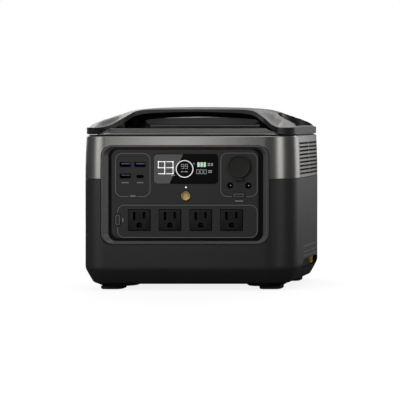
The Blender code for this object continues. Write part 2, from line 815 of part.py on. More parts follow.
def make_front_bezel():
    """A sloped frame in the front opening, held by a flange behind the wall."""
    face = -HALF_D

    def ring(half_w, half_h, radius, y):
        return facing_front(rounded_rect(half_w, half_h, radius, BEZEL_STEPS), (0, PANEL_Z), y)

    w, h = BEZEL_HALF
    rings = [ring(w, h, BEZEL_R, face + 5.2 * MM),
             ring(w, h, BEZEL_R, face + 0.7 * MM),
             ring(w - 0.6 * MM, h - 0.6 * MM, BEZEL_R - 0.6 * MM, face + 0.1 * MM),
             ring(w - 1.6 * MM, h - 1.2 * MM, BEZEL_R - 1.2 * MM, face + 0.2 * MM),
             ring(*OPENING_HALF, OPENING_R, PANEL_FACE_Y - 0.5 * MM),
             ring(*OPENING_HALF, OPENING_R, face + 7 * MM),
             ring(w + 1.8 * MM, h + 3.6 * MM, BEZEL_R + 2.2 * MM, face + 7 * MM),
             ring(w + 1.8 * MM, h + 3.6 * MM, BEZEL_R + 2.2 * MM, face + 5.2 * MM)]
    loft("front_bezel", rings, dark_plastic(), cyclic=True, smooth_angle=30)


def panel_cutouts():
    """Every opening in the front panel: (outline, centre)."""
    cutouts = [(rounded_rect(DISPLAY_HALF[0], DISPLAY_HALF[1], DISPLAY_R, 5), (0, DISPLAY_Z)),
               (circle(POWER_R + POWER_GROOVE, 24), POWER_XZ),
               (circle(LIGHT_R + GAP, 10), LIGHT_XZ),
               (circle(CAR_BARREL_R + GAP, 24), CAR_XZ),
               (rounded_rect(AC_BUTTON_HALF[0] + GAP, AC_BUTTON_HALF[1] + GAP, 3.2 * MM, 4), AC_BUTTON_XZ),
               (rounded_rect(DC_BUTTON_HALF[0] + GAP, DC_BUTTON_HALF[1] + GAP, 2 * MM, 4), DC_BUTTON_XZ),
               (rounded_rect(USB_C_HALF[0] + GAP, USB_C_HALF[1] + GAP, USB_C_HALF[1], 4), USB_C_XZ)]
    cutouts += [(rectangle(USB_A_HALF[0] + GAP, USB_A_HALF[1] + GAP), centre) for centre in USB_A_XZ]
    cutouts += [(circle(DC_JACK_R + GAP, 16), centre) for centre in DC_JACK_XZ]
    cutouts += [(rectangle(OUTLET_HALF[0] + GAP, OUTLET_HALF[1] + GAP), (x, OUTLET_Z)) for x in OUTLET_X]
    return cutouts


def make_front_panel():
    back = PANEL_FACE_Y + PANEL_THICK
    half = (OPENING_HALF[0] - PANEL_FIT, OPENING_HALF[1] - PANEL_FIT)
    outline = rounded_rect(*half, OPENING_R - PANEL_FIT, BEZEL_STEPS)
    raised_half = ((RAISED_X[1] - RAISED_X[0]) / 2, (RAISED_Z[1] - RAISED_Z[0]) / 2)
    raised = rounded_rect(*raised_half, RAISED_R, BEZEL_STEPS)
    raised_centre = (sum(RAISED_X) / 2, sum(RAISED_Z) / 2)
    rings = [facing_front(raised, raised_centre, y) for y in (PANEL_FACE_Y, PANEL_FACE_Y + PANEL_STEP)]
    rings += [facing_front(outline, (0, PANEL_Z), y) for y in (PANEL_FACE_Y + PANEL_STEP, back)]
    panel = loft("front_panel", rings, panel_plastic())
    bm = bmesh.new()
    for shape, centre in panel_cutouts():
        add_loft(bm, [facing_front(shape, centre, y) for y in (PANEL_FACE_Y - 2 * MM, back + 2 * MM)])
    boolean(panel, finish(bm, "panel_cutout_tool", None))
    lugs = []
    for side in (-1, 1):
        inner, outer = sorted(side * edge for edge in LUG_SPAN)
        lugs.append(((CAR_XZ[0] + inner, HINGE_Y - KNUCKLE_R, HINGE_Z - LUG_DROP),
                     (CAR_XZ[0] + outer, PANEL_FACE_Y + 1 * MM, HINGE_Z + KNUCKLE_R)))
    boolean(panel, boxes("hinge_lug_tool", lugs, None), "UNION")
    bm = bmesh.new()
    span = (CAR_XZ[0] - 8 * MM, CAR_XZ[0] + 8 * MM)
    add_turned(bm, [(HINGE_BORE_R, x) for x in span], (HINGE_Y, HINGE_Z), 10, "X")
    boolean(panel, finish(bm, "hinge_bore_tool", None))
    return panel


def make_display():
    gap = GAP
    outline = rounded_rect(DISPLAY_HALF[0] - gap, DISPLAY_HALF[1] - gap, DISPLAY_R - gap, 5)
    front = PANEL_FACE_Y - 0.1 * MM
    loft("display_lens", [facing_front(outline, (0, DISPLAY_Z), y) for y in (front, front + 1.3 * MM)],
         clear_glass())
    low = (-39.5 * MM, front + 1.6 * MM, DISPLAY_Z - 17.5 * MM)
    high = (39.5 * MM, front + 6 * MM, DISPLAY_Z + 17.5 * MM)
    boxes("display_module", [(low, high)], black_plastic())


def make_power_button():
    """A round dished cap."""
    face = PANEL_FACE_Y - 0.7 * MM
    bm = bmesh.new()
    profile = ((POWER_R - 1.1 * MM, face + 0.25 * MM), (POWER_R - 0.7 * MM, face),
               (POWER_R - 0.3 * MM, face),
               (POWER_R, face + 0.4 * MM), (POWER_R, face + BUTTON_DEPTH))
    add_turned(bm, profile, POWER_XZ, 28)
    cap = finish(bm, "power_button", gold_anodised(), 40)
    set_origin(cap, (POWER_XZ[0], face, POWER_XZ[1]))


def make_pill_button(name, half, centre, proud):
    """A flat button with a softened edge, sliding in its hole."""
    face = PANEL_FACE_Y - proud
    radius = min(half) * 0.85
    rings = []
    for inset, y in ((0.5 * MM, face), (0, face + 0.5 * MM), (0, face + BUTTON_DEPTH)):
        outline = rounded_rect(half[0] - inset, half[1] - inset, radius - inset, 4)
        rings.append(facing_front(outline, centre, y))
    cap = loft(name, rings, dark_plastic(), smooth_angle=40)
    set_origin(cap, (centre[0], face, centre[1]))


def make_buttons():
    make_power_button()
    make_pill_button("ac_button", AC_BUTTON_HALF, AC_BUTTON_XZ, 0.5 * MM)
    make_pill_button("dc_button", DC_BUTTON_HALF, DC_BUTTON_XZ, 0.5 * MM)
    bm = bmesh.new()
    profile = ((LIGHT_R, PANEL_FACE_Y), (LIGHT_R, PANEL_FACE_Y + 7 * MM))
    add_turned(bm, profile, LIGHT_XZ, 10)
    finish(bm, "status_light_pipe", white_plastic(), 40)


def make_usb_a(index, centre, tongue_material):
    """A folded metal socket, closed at the back, with its contact tongue inside."""
    front = PANEL_FACE_Y + PORT_SET_BACK
    back = front + USB_A_DEPTH
    w, h = USB_A_HALF
    inner = (w - USB_A_WALL, h - USB_A_WALL)
    rings = [facing_front(rectangle(w, h), centre, y) for y in (back, front)]
    rings += [facing_front(rectangle(*inner), centre, y) for y in (front, back - USB_A_WALL)]
    loft(f"usb_a_port_{index}", rings, bright_steel())
    rest = back - USB_A_WALL - GAP
    low = (centre[0] - TONGUE_HALF_W, front + TONGUE_SET_BACK, centre[1] + TONGUE_RISE[0])
    high = (centre[0] + TONGUE_HALF_W, rest, centre[1] + TONGUE_RISE[1])
    boxes(f"usb_a_tongue_{index}", [(low, high)], tongue_material)


def make_usb_c():
    front = PANEL_FACE_Y + PORT_SET_BACK
    back = front + USB_A_DEPTH
    w, h = USB_C_HALF
    wall = USB_C_WALL
    rings = [facing_front(rounded_rect(w, h, h * 0.98, 4), USB_C_XZ, y) for y in (back, front)]
    rings += [facing_front(rounded_rect(w - wall, h - wall, (h - wall) * 0.98, 4), USB_C_XZ, y)
              for y in (front, back - wall)]
    loft("usb_c_port", rings, bright_steel(), smooth_angle=40)


def make_car_socket():
    """The 12 volt socket: barrel, hinged cover and hinge pin."""
    front = PANEL_FACE_Y + PORT_SET_BACK
    back = front + CAR_DEPTH
    bm = bmesh.new()
    profile = ((CAR_BARREL_R, back), (CAR_BARREL_R, front), (CAR_BORE_R, front),
               (CAR_BORE_R, back - 1.5 * MM))
    add_turned(bm, profile, CAR_XZ, 24)
    finish(bm, "car_socket", bright_steel(), 40)
    make_car_socket_cover()
    bm = bmesh.new()
    reach = LUG_SPAN[1] + 0.2 * MM
    span = (CAR_XZ[0] - reach, CAR_XZ[0] + reach)
    add_turned(bm, [(HINGE_PIN_R, x) for x in span], (HINGE_Y, HINGE_Z), 10, "X")
    finish(bm, "cover_hinge_pin", bright_steel(), 40)


def make_car_socket_cover():
    """A dished disc with a raised edge, a plug on its back and a hinge arm below."""
    seat = PANEL_FACE_Y - GAP
    face = seat - 2.4 * MM
    bm = bmesh.new()
    profile = ((COVER_R - 1.6 * MM, face + 0.6 * MM), (COVER_R - 1.2 * MM, face), (COVER_R - 0.4 * MM, face),
               (COVER_R, face + 0.5 * MM), (COVER_R, seat), (PLUG_R, seat),
               (PLUG_R - 0.4 * MM, seat + 5 * MM))
    add_turned(bm, profile, CAR_XZ, 32)
    cover = finish(bm, "car_socket_cover", soft_rubber(), 40)
    set_origin(cover, (CAR_XZ[0], HINGE_Y, HINGE_Z))
    low = (CAR_XZ[0] - KNUCKLE_HALF, face + 0.4 * MM, HINGE_Z)
    high = (CAR_XZ[0] + KNUCKLE_HALF, seat - 0.1 * MM, CAR_XZ[1] - COVER_R + 2.5 * MM)
    boolean(cover, boxes("cover_arm_tool", [(low, high)], None), "UNION")
    bm = bmesh.new()
    span = (CAR_XZ[0] - KNUCKLE_HALF, CAR_XZ[0] + KNUCKLE_HALF)
    add_turned(bm, [(KNUCKLE_R, x) for x in span], (HINGE_Y, HINGE_Z), 14, "X")
    boolean(cover, finish(bm, "cover_knuckle_tool", None), "UNION")
    bm = bmesh.new()
    span = (CAR_XZ[0] - 6 * MM, CAR_XZ[0] + 6 * MM)
    add_turned(bm, [(HINGE_BORE_R, x) for x in span], (HINGE_Y, HINGE_Z), 10, "X")
    boolean(cover, finish(bm, "cover_bore_tool", None))


def make_dc_jack(index, centre):
    """A round power jack and the pin in its middle."""
    front = PANEL_FACE_Y + 0.1 * MM
    back = front + DC_JACK_DEPTH
    bm = bmesh.new()
    profile = ((DC_JACK_R, back), (DC_JACK_R, front), (DC_JACK_BORE_R, front),
               (DC_JACK_BORE_R, back - DC_JACK_BACK))
    add_turned(bm, profile, centre, 18)
    finish(bm, f"dc_jack_{index}", black_plastic(), 40)
    bm = bmesh.new()
    profile = ((0.7 * MM, front + 1.5 * MM), (DC_PIN_R, front + 2.2 * MM),
               (DC_PIN_R, back - DC_JACK_BACK - GAP))
    add_turned(bm, profile, centre, 12)
    finish(bm, f"dc_jack_pin_{index}", bright_steel(), 40)


def outlet_slots():
    """The two blade slots and the round-topped ground hole, as (outline, centre) about an outlet's middle."""
    angles = [math.pi * i / GROUND_STEPS for i in range(GROUND_STEPS + 1)]
    ground = [(GROUND_R * math.cos(angle), GROUND_R * math.sin(angle)) for angle in angles]
    ground += [(-GROUND_R, GROUND_FLOOR), (GROUND_R, GROUND_FLOOR)]
    shapes = [(ground, (0, GROUND_Z))]
    for side, length in ((-1, LONG_SLOT), (1, SHORT_SLOT)):
        shapes.append((rectangle(SLOT_W / 2, length / 2), (side * SLOT_X, SLOT_TOP - length / 2)))
    return shapes


def make_outlet(index, x):
    """An outlet block: slotted face, open at the back."""
    front = PANEL_FACE_Y - OUTLET_PROUD
    back = front + OUTLET_DEPTH
    w, h = OUTLET_HALF
    centre = (x, OUTLET_Z)
    inner = rectangle(w - OUTLET_WALL, h - OUTLET_WALL)
    outer = rectangle(w, h)
    rings = [facing_front(inner, centre, front + OUTLET_FACE), facing_front(inner, centre, back),
             facing_front(outer, centre, back), facing_front(outer, centre, front + OUTLET_EDGE),
             facing_front(rectangle(w - OUTLET_EDGE, h - OUTLET_EDGE), centre, front)]
    block = loft(f"ac_outlet_{index}", rings, dark_plastic())
    bm = bmesh.new()
    for shape, (dx, dz) in outlet_slots():
        spot = (x + dx, OUTLET_Z + dz)
        add_loft(bm, [facing_front(shape, spot, y) for y in (front - 1 * MM, front + OUTLET_FACE + 1 * MM)])
    boolean(block, finish(bm, f"outlet_{index}_slot_tool", None))


def make_contact_rails():
    """Three brass rails behind the outlets, each with a spring contact reaching into every outlet."""
    front = PANEL_FACE_Y - OUTLET_PROUD
    start = front + OUTLET_FACE + CONTACT_SET_BACK
    blade_z = OUTLET_Z + SLOT_TOP - CONTACT_DROP
    rails = (("neutral_rail", -SLOT_X, blade_z, NEUTRAL_RISE, 0.0),
             ("live_rail", SLOT_X, blade_z, LIVE_RISE, LIVE_SET_BACK),
             ("ground_rail", 0.0, OUTLET_Z + GROUND_Z, GROUND_RISE, 0.0))
    for name, shift, z, rise, back in rails:
        rail_y = front + OUTLET_DEPTH + GAP + back
        low = (OUTLET_X[0] - RAIL_END, rail_y, z + rise - RAIL_HALF_H)
        high = (OUTLET_X[-1] + RAIL_END, rail_y + RAIL_THICK, z + rise + RAIL_HALF_H)
        rail = boxes(name, [(low, high)], brass())
        risers, fingers = [], []
        foot, top = sorted((z, z + rise))
        for x in OUTLET_X:
            middle = x + shift
            risers.append(((middle - RISER_HALF, rail_y - 0.1 * MM, foot - 1 * MM),
                           (middle + RISER_HALF, rail_y + 1.0 * MM, top + 1 * MM)))
            fingers.append(((middle - FINGER_HALF[0], start, z - FINGER_HALF[1]),
                            (middle + FINGER_HALF[0], rail_y + 0.6 * MM, z + FINGER_HALF[1])))
        boolean(rail, boxes(f"{name}_riser_tool", risers, None), "UNION")
        boolean(rail, boxes(f"{name}_finger_tool", fingers, None), "UNION")


def make_front():
    make_front_bezel()
    make_front_panel()
    make_display()
    make_buttons()
    for index, centre in enumerate(USB_A_XZ, 1):
        make_usb_a(index, centre, blue_plastic() if index < 3 else black_plastic())
    make_usb_c()
    make_car_socket()
    for index, centre in enumerate(DC_JACK_XZ, 1):
        make_dc_jack(index, centre)
    for index, x in enumerate(OUTLET_X, 1):
        make_outlet(index, x)
    make_contact_rails()


# ---------------------------------------------------------------- side and rear ports

def make_side_ports():
    """The recessed plate in the right side's bay, with the input connector."""
    x0, x1 = BAY_PLATE_X
    centre = (sum(BAY_Y) / 2, sum(BAY_Z) / 2)
    half_d = (BAY_Y[1] - BAY_Y[0]) / 2 + BAY_PLATE_LAP[0]
    half_h = (BAY_Z[1] - BAY_Z[0]) / 2 + BAY_PLATE_LAP[1]
    outline = rounded_rect(half_d, half_h, BAY_R, 4)
    plate = loft("side_port_plate", [facing_side(outline, centre, x) for x in (x0, x1)], black_plastic())
    spot = (SOLAR_Y, SOLAR_Z)
    hole = rounded_rect(SOLAR_HALF[0] + GAP, SOLAR_HALF[1] + GAP, SOLAR_R, 3)
    tool = [facing_side(hole, spot, x) for x in (x0 - 2 * MM, x1 + 2 * MM)]
    boolean(plate, loft("side_plate_tool", tool, None))
    body = rounded_rect(*SOLAR_HALF, SOLAR_R, 3)
    ends = (x0 - SOLAR_LENGTH, x1 + SOLAR_PROUD)
    connector = loft("solar_input", [facing_side(body, spot, x) for x in ends], yellow_plastic())
    bm = bmesh.new()
    for side in (-1, 1):
        socket = (SOLAR_Y + side * SOLAR_SOCKET_SPREAD, SOLAR_Z)
        span = (x0 - SOLAR_SOCKET_DEPTH, x1 + 4 * MM)
        add_turned(bm, [(SOLAR_SOCKET_R, x) for x in span], socket, 12, "X")
    boolean(connector, finish(bm, "solar_socket_tool", None))


def make_rear_ports():
    """The charging port plate at the back: mains inlet and overload reset button."""
    outline = rounded_rect(*REAR_PLATE_HALF, REAR_PLATE_R, 4)
    ends = (REAR_FACE_Y - REAR_PLATE_THICK, REAR_FACE_Y)
    plate = loft("rear_port_plate", [facing_front(outline, REAR_PLATE_XZ, y) for y in ends], black_plastic())
    bm = bmesh.new()
    inlet_hole = rounded_rect(INLET_HALF[0] + GAP, INLET_HALF[1] + GAP, INLET_R, 3)
    for shape, centre in ((inlet_hole, INLET_XZ), (circle(RESET_R + GAP, 18), RESET_XZ)):
        add_loft(bm, [facing_front(shape, centre, y) for y in (ends[0] - 2 * MM, ends[1] + 2 * MM)])
    boolean(plate, finish(bm, "rear_plate_tool", None))
    make_mains_inlet()
    bm = bmesh.new()
    face = REAR_FACE_Y + RESET_PROUD
    edge = 0.5 * MM
    add_turned(bm, ((RESET_R, face - BUTTON_DEPTH), (RESET_R, face - edge), (RESET_R - edge, face)), RESET_XZ, 20)
    cap = finish(bm, "reset_button", black_plastic(), 40)
    set_origin(cap, (RESET_XZ[0], face, RESET_XZ[1]))


def make_mains_inlet():
    """The mains inlet's shell, and its three pins on their carrier."""
    back = REAR_FACE_Y + INLET_PROUD
    front = back - INLET_DEPTH
    x, z = INLET_XZ
    outer = rounded_rect(*INLET_HALF, INLET_R, 3)
    inner = rounded_rect(INLET_HALF[0] - INLET_WALL, INLET_HALF[1] - INLET_WALL, INLET_R - 1 * MM, 3)
    rings = [facing_front(outer, INLET_XZ, front), facing_front(outer, INLET_XZ, back),
             facing_front(inner, INLET_XZ, back), facing_front(inner, INLET_XZ, front + INLET_BACK)]
    loft("mains_inlet", rings, black_plastic())
    base = front + INLET_BACK + GAP
    low = (x + CARRIER_LOW[0], base, z + CARRIER_LOW[1])
    high = (x + CARRIER_HIGH[0], base + CARRIER_THICK, z + CARRIER_HIGH[1])
    carrier = boxes("mains_inlet_pins", [(low, high)], bright_steel())
    half_w, half_h = INLET_PIN_HALF
    pins = []
    for dx, dz in INLET_PIN_XZ:
        pins.append(((x + dx - half_w, base + 0.5 * MM, z + dz - half_h),
                     (x + dx + half_w, back - INLET_PIN_SET_BACK, z + dz + half_h)))
    boolean(carrier, boxes("inlet_pin_tool", pins, None), "UNION")


# ---------------------------------------------------------------- internals

def block_around(centre, size, z):
    """The low and high corners of a box standing at height z."""
    return ((centre[0] - size[0] / 2, centre[1] - size[1] / 2, z),
            (centre[0] + size[0] / 2, centre[1] + size[1] / 2, z + size[2]))


def make_battery():
    """The tray, the block of sixteen upright cells with grooves between them, and the board on top."""
    pitch_x = CELL[0] + CELL_GAP
    pitch_y = CELL[1] + CELL_GAP
    half_w = CELL_COLUMNS * pitch_x / 2
    half_d = CELL_ROWS * pitch_y / 2
    rings = []
    rim = CELL_Z + TRAY_HEIGHT
    fit = 0.2 * MM
    for grow, z in ((TRAY_WALL, CELL_Z - TRAY_FLOOR), (TRAY_WALL, rim), (fit, rim), (fit, CELL_Z - GAP)):
        outline = rectangle(half_w + grow, half_d + grow)
        rings.append(facing_up(outline, (0, BATTERY_Y), z))
    loft("battery_tray", rings, black_plastic())
    cells = boxes("battery_cells", [block_around((0, BATTERY_Y), (2 * half_w, 2 * half_d, CELL[2]), CELL_Z)],
                  battery_wrap())
    top = CELL_Z + CELL[2]
    grooves = [((-half_w - 1 * MM, BATTERY_Y - CELL_GAP, top - CELL_GROOVE),
                (half_w + 1 * MM, BATTERY_Y + CELL_GAP, top + 1 * MM))]
    boolean(cells, boxes("cell_row_groove_tool", grooves, None))
    grooves = []
    for column in range(1, CELL_COLUMNS):
        x = -half_w + column * pitch_x
        grooves.append(((x - CELL_GAP, BATTERY_Y - half_d - 1 * MM, top - CELL_GROOVE),
                        (x + CELL_GAP, BATTERY_Y + half_d + 1 * MM, top + 1 * MM)))
    boolean(cells, boxes("cell_column_groove_tool", grooves, None))
    board = block_around((0, BATTERY_Y), (*BATTERY_BOARD, BOARD), top + GAP)
    boxes("battery_management_board", [board], circuit_board())


def make_inverter():
    """The board over the battery that converts its power, and the large parts on it."""
    boxes("inverter_board", [block_around(INVERTER_CENTRE, (*INVERTER_SIZE, BOARD), INVERTER_Z)],
          circuit_board())
    base = INVERTER_Z + BOARD + GAP
    fin = HEATSINK_HALF * 2 / (2 * HEATSINK_FINS - 1)
    outline = [(-HEATSINK_HALF, 0), (HEATSINK_HALF, 0)]
    for i in range(HEATSINK_FINS):
        right = HEATSINK_HALF - 2 * i * fin
        outline += [(right, HEATSINK_HEIGHT), (right - fin, HEATSINK_HEIGHT)]
        if i < HEATSINK_FINS - 1:
            outline += [(right - fin, HEATSINK_BASE), (right - 2 * fin, HEATSINK_BASE)]
    ends = [[Vector((x, HEATSINK_Y + u, base + v)) for u, v in outline] for x in HEATSINK_X]
    loft("heatsink", ends, aluminium())
    boxes("transformer", [block_around(TRANSFORMER_CENTRE, TRANSFORMER_SIZE, base)], black_plastic())
    bm = bmesh.new()
    profile = ((CAPACITOR_R, base), (CAPACITOR_R, base + CAPACITOR_HEIGHT))
    add_turned(bm, profile, CAPACITOR_CENTRE, 20, "Z")
    finish(bm, "capacitor", black_plastic(), 40)


def spoke_window(number, inner, outer):
    """The outline of one opening between two of the fan frame's spokes."""
    start = math.tau * number / FAN_SPOKES + FAN_SPOKE_HALF
    end = math.tau * (number + 1) / FAN_SPOKES - FAN_SPOKE_HALF
    outside = [start + (end - start) * k / 6 for k in range(7)]
    inside = [end + (start - end) * k / 3 for k in range(4)]
    return ([(outer * math.cos(angle), outer * math.sin(angle)) for angle in outside]
            + [(inner * math.cos(angle), inner * math.sin(angle)) for angle in inside])


def make_fan():
    """The cooling fan: a square frame with a round duct, and a bladed rotor on the X axis."""
    low, high = FAN_X, FAN_X + FAN_THICK
    centre = (FAN_Y, FAN_Z)
    half = FAN_SIZE / 2
    outline = rounded_rect(half, half, 4 * MM, 3)
    frame = loft("fan_frame", [facing_side(outline, centre, x) for x in (low, high)], black_plastic())
    bm = bmesh.new()
    bore = ((half - FAN_RIM, low + FAN_SPOKE_THICK), (half - FAN_RIM, high + 1 * MM))
    add_turned(bm, bore, centre, 28, "X")
    for number in range(FAN_SPOKES):
        window = spoke_window(number, FAN_BOSS_R, half - FAN_RIM - 1 * MM)
        add_loft(bm, [facing_side(window, centre, x) for x in (low - 1 * MM, low + 3 * MM)])
    boolean(frame, finish(bm, "fan_bore_tool", None))
    start, end = low + FAN_SPOKE_THICK + 1 * MM, high - 1.5 * MM
    rings = []
    for step in range(FAN_TWIST_STEPS + 1):
        share = step / FAN_TWIST_STEPS
        outline = rotor_outline(half - FAN_TIP_GAP, FAN_TWIST * share)
        rings.append(facing_side(outline, centre, start + (end - start) * share))
    rotor = loft("fan_rotor", rings, dark_plastic())
    set_origin(rotor, ((low + high) / 2, FAN_Y, FAN_Z))


def rotor_outline(tip, turn):
    """A round hub with evenly spaced blades, turned about its middle."""
    points = []
    for blade in range(FAN_BLADES):
        middle = turn + math.tau * blade / FAN_BLADES
        for radius, angle in ((FAN_HUB_R, -FAN_BLADE_HALF), (tip, -FAN_BLADE_HALF * 0.9), (tip, 0),
                              (tip, FAN_BLADE_HALF * 0.9), (FAN_HUB_R, FAN_BLADE_HALF),
                              (FAN_HUB_R, math.pi / FAN_BLADES)):
            points.append((radius * math.cos(middle + angle), radius * math.sin(middle + angle)))
    return points


def make_control_board():
    """The control board behind the ports and the display."""
    board_y = PANEL_FACE_Y + CONTROL_BOARD_SET_BACK
    low = (CONTROL_BOARD_X[0], board_y, CONTROL_BOARD_Z[0])
    high = (CONTROL_BOARD_X[1], board_y + BOARD, CONTROL_BOARD_Z[1])
    boxes("control_board", [(low, high)], circuit_board())


def add_cable(bm, path, radius):
    """A round cable swept along a path of points."""
    rings = []
    for i, point in enumerate(path):
        along = (path[min(i + 1, len(path) - 1)] - path[max(i - 1, 0)]).normalized()
        side = along.cross(Vector((0, 1, 0))).normalized()
        up = along.cross(side)
        rings.append([point + side * u + up * v for u, v in circle(radius, 10)])
    add_loft(bm, rings)


def make_cables():
    """The two battery leads that rise beside the tray to the inverter board."""
    leads = (("battery_cable_positive", LEAD_Y[0], red_insulation()),
             ("battery_cable_negative", LEAD_Y[1], black_insulation()))
    for name, y, insulation in leads:
        start = Vector((LEAD_START[0], y, LEAD_START[1]))
        end = Vector((LEAD_END[0], y, LEAD_END[1]))
        path = []
        for step in range(LEAD_STEPS + 1):
            share = step / LEAD_STEPS
            bow = Vector((LEAD_BOW * math.sin(math.pi * share), 0, 0))
            path.append(start.lerp(end, share) + bow)
        bm = bmesh.new()
        add_cable(bm, path, LEAD_R)
        finish(bm, name, insulation, 40)


# ---------------------------------------------------------------- assembly

def main():
    for old in list(bpy.data.objects):
        bpy.data.objects.remove(old)
    front_tool = front_opening_cutter()
    rear_tool = rear_opening_cutter()
    make_lower_shell(front_tool, rear_tool)
    make_upper_shell(front_tool, rear_tool)
    make_rubber_feet()
    make_base_screws()
    make_top_cover()
    make_carry_handle()
    make_grip_pad()
    make_front()
    make_side_ports()
    make_rear_ports()
    make_battery()
    make_inverter()
    make_fan()
    make_control_board()
    make_cables()


main()
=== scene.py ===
"""The finished look of the portable power station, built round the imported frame.

Metres, +Z up, the front panel faces -Y. Shells that show are rebuilt here with finer surfaces in the same
places as the frame's own solids; the small parts keep their solids and get softened edges and materials.
"""

import math

import bmesh
import bpy
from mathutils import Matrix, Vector


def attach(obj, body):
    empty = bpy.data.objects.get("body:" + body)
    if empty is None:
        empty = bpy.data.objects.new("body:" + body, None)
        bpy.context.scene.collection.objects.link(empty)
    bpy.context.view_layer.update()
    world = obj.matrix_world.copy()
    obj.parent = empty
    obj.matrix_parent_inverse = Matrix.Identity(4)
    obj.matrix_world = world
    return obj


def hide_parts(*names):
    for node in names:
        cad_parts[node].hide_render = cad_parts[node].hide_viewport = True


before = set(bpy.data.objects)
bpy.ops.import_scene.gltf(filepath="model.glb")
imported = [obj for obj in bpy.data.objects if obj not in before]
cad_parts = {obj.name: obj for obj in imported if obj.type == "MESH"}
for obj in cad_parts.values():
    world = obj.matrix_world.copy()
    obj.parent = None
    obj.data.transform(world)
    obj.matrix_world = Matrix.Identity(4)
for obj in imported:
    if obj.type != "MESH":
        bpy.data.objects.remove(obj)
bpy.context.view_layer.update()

MM = 0.001
HOUSING = "housing"

# ---- dimensions

HALF_W, HALF_D, CORNER_R = 140 * MM, 90 * MM, 38 * MM
WALL = 2.8 * MM
CORNER_STEPS = 20
UNDERSIDE_Z = 8 * MM
BASE_INSET_MM = ((8, 13), (9.2, 10.6), (11.5, 8.7), (14, 7.3), (26, 1.1), (28, 0.35), (30.5, 0))
SPLIT_Z, UPPER_TOP_Z = 145 * MM, 201.4 * MM
TAPER_TOP_Z, TAPER_INSET, TAPER_POWER = 203 * MM, 1.6 * MM, 1.8

VENT_COUNT, VENT_PITCH, VENT_HEIGHT, VENT_TOP_Z = 9, 5.0 * MM, 2.6 * MM, 192 * MM
VENT_Y = (-48 * MM, 60 * MM)
VENT_WEB, VENT_REACH, VENT_RISE = 1.6 * MM, 3.2 * MM, 2.7 * MM

PANEL_Z = 124.6 * MM
PANEL_FACE_Y = -85.2 * MM
BEZEL_HALF, BEZEL_R, BEZEL_GROOVE = (108.8 * MM, 63.9 * MM), 14 * MM, 0.8 * MM
OPENING_HALF, OPENING_R = (100.6 * MM, 60.1 * MM), 10.4 * MM

DISPLAY_Z, DISPLAY_HALF, DISPLAY_R = 158.35 * MM, (42 * MM, 19.5 * MM), 5 * MM
POWER_XZ, POWER_R = (0, 123.2 * MM), 6 * MM
LIGHT_XZ = (0, 134.4 * MM)
CAR_XZ, CAR_R, COVER_R = (69.6 * MM, 161.4 * MM), 12 * MM, 14.8 * MM
HINGE_Y, HINGE_Z = -87.4 * MM, 144 * MM
AC_BUTTON_XZ, AC_BUTTON_HALF = (-88.4 * MM, 92.1 * MM), (3.75 * MM, 7.5 * MM)
DC_BUTTON_XZ, DC_BUTTON_HALF = (69.2 * MM, 124 * MM), (7.75 * MM, 3.1 * MM)
USB_A_XZ = ((-78.8 * MM, 164 * MM), (-59.6 * MM, 164 * MM), (-78.7 * MM, 149.1 * MM))
USB_A_HALF = (6.9 * MM, 2.9 * MM)
USB_C_XZ, USB_C_HALF = (-59.6 * MM, 148.5 * MM), (4.6 * MM, 1.75 * MM)
DC_JACK_XZ, DC_JACK_R = ((57.6 * MM, 136.7 * MM), (81.2 * MM, 136.7 * MM)), 4 * MM
OUTLET_Z, OUTLET_X = 91.9 * MM, (-60.5 * MM, -20.5 * MM, 19.5 * MM, 59.5 * MM)
OUTLET_HALF = (14 * MM, 13.5 * MM)
FIT = 0.3 * MM

HANDLE_SEAT_Z, DECK_Z = 202.7 * MM, 190.5 * MM
RIDGE_MM = ((0, 239), (45, 238.3), (80, 236.1), (96, 233), (112, 226), (135, 215.6), (138.4, 213))
EDGE_MM = ((0, 236), (60, 235.7), (76, 234), (92, 225.2), (108, 214.8), (118, 212.2), (138.4, 212))
BAND_MM = ((0, 3.2), (40, 4), (70, 5.2), (98, 7.1), (112, 6.8), (122, 8.4), (138.4, 8.4))
CORE_MM = ((0, 13.4), (80, 14), (101, 10), (108, 12), (115, 22), (138.4, 22))
PLAN_MM = ((0, 45), (76, 45), (92, 49.5), (100, 56), (114, 67), (118, 75), (120.5, 83.2))
CREST_HALF, RIM_DIP = 18 * MM, 1.8 * MM
END_OPENING_X, END_OPENING_HALF = (101 * MM, 134 * MM), 46 * MM
TUB_HALF, TUB_R, TUB_WALL = (124 * MM, 72 * MM), 26 * MM, 2.4 * MM
TUB_FLOOR = 2.5 * MM
FLANGE_Z, FLANGE_INSET = (199.6 * MM, 202.3 * MM), 5 * MM
RIM_FOOT_Z, FRONT_RIM_Z, REAR_RIM_Z, RIM_END_X = 202.6 * MM, 211 * MM, 214.5 * MM, 118


# ---- materials

def linear(grey_or_colour):
    """Scene-linear colour from 0-255 display values."""
    values = grey_or_colour if isinstance(grey_or_colour, tuple) else (grey_or_colour,) * 3
    return (*[(value / 255) ** 2.2 for value in values], 1.0)


DRIFT_SCALE, SHEEN_DRIFT = 40, 0.02


def add_node(nodes, kind, inputs=None, **settings):
    """A new shader node with its settings and the values of its inputs."""
    node = nodes.new(f"ShaderNode{kind}")
    for name, value in settings.items():
        setattr(node, name, value)
    for name, value in (inputs or {}).items():
        node.inputs[name].default_value = value
    return node


def join(links, wires):
    """Links each (node, output, node, input)."""
    for source, output, target, entry in wires:
        links.new(source.outputs[output], target.inputs[entry])


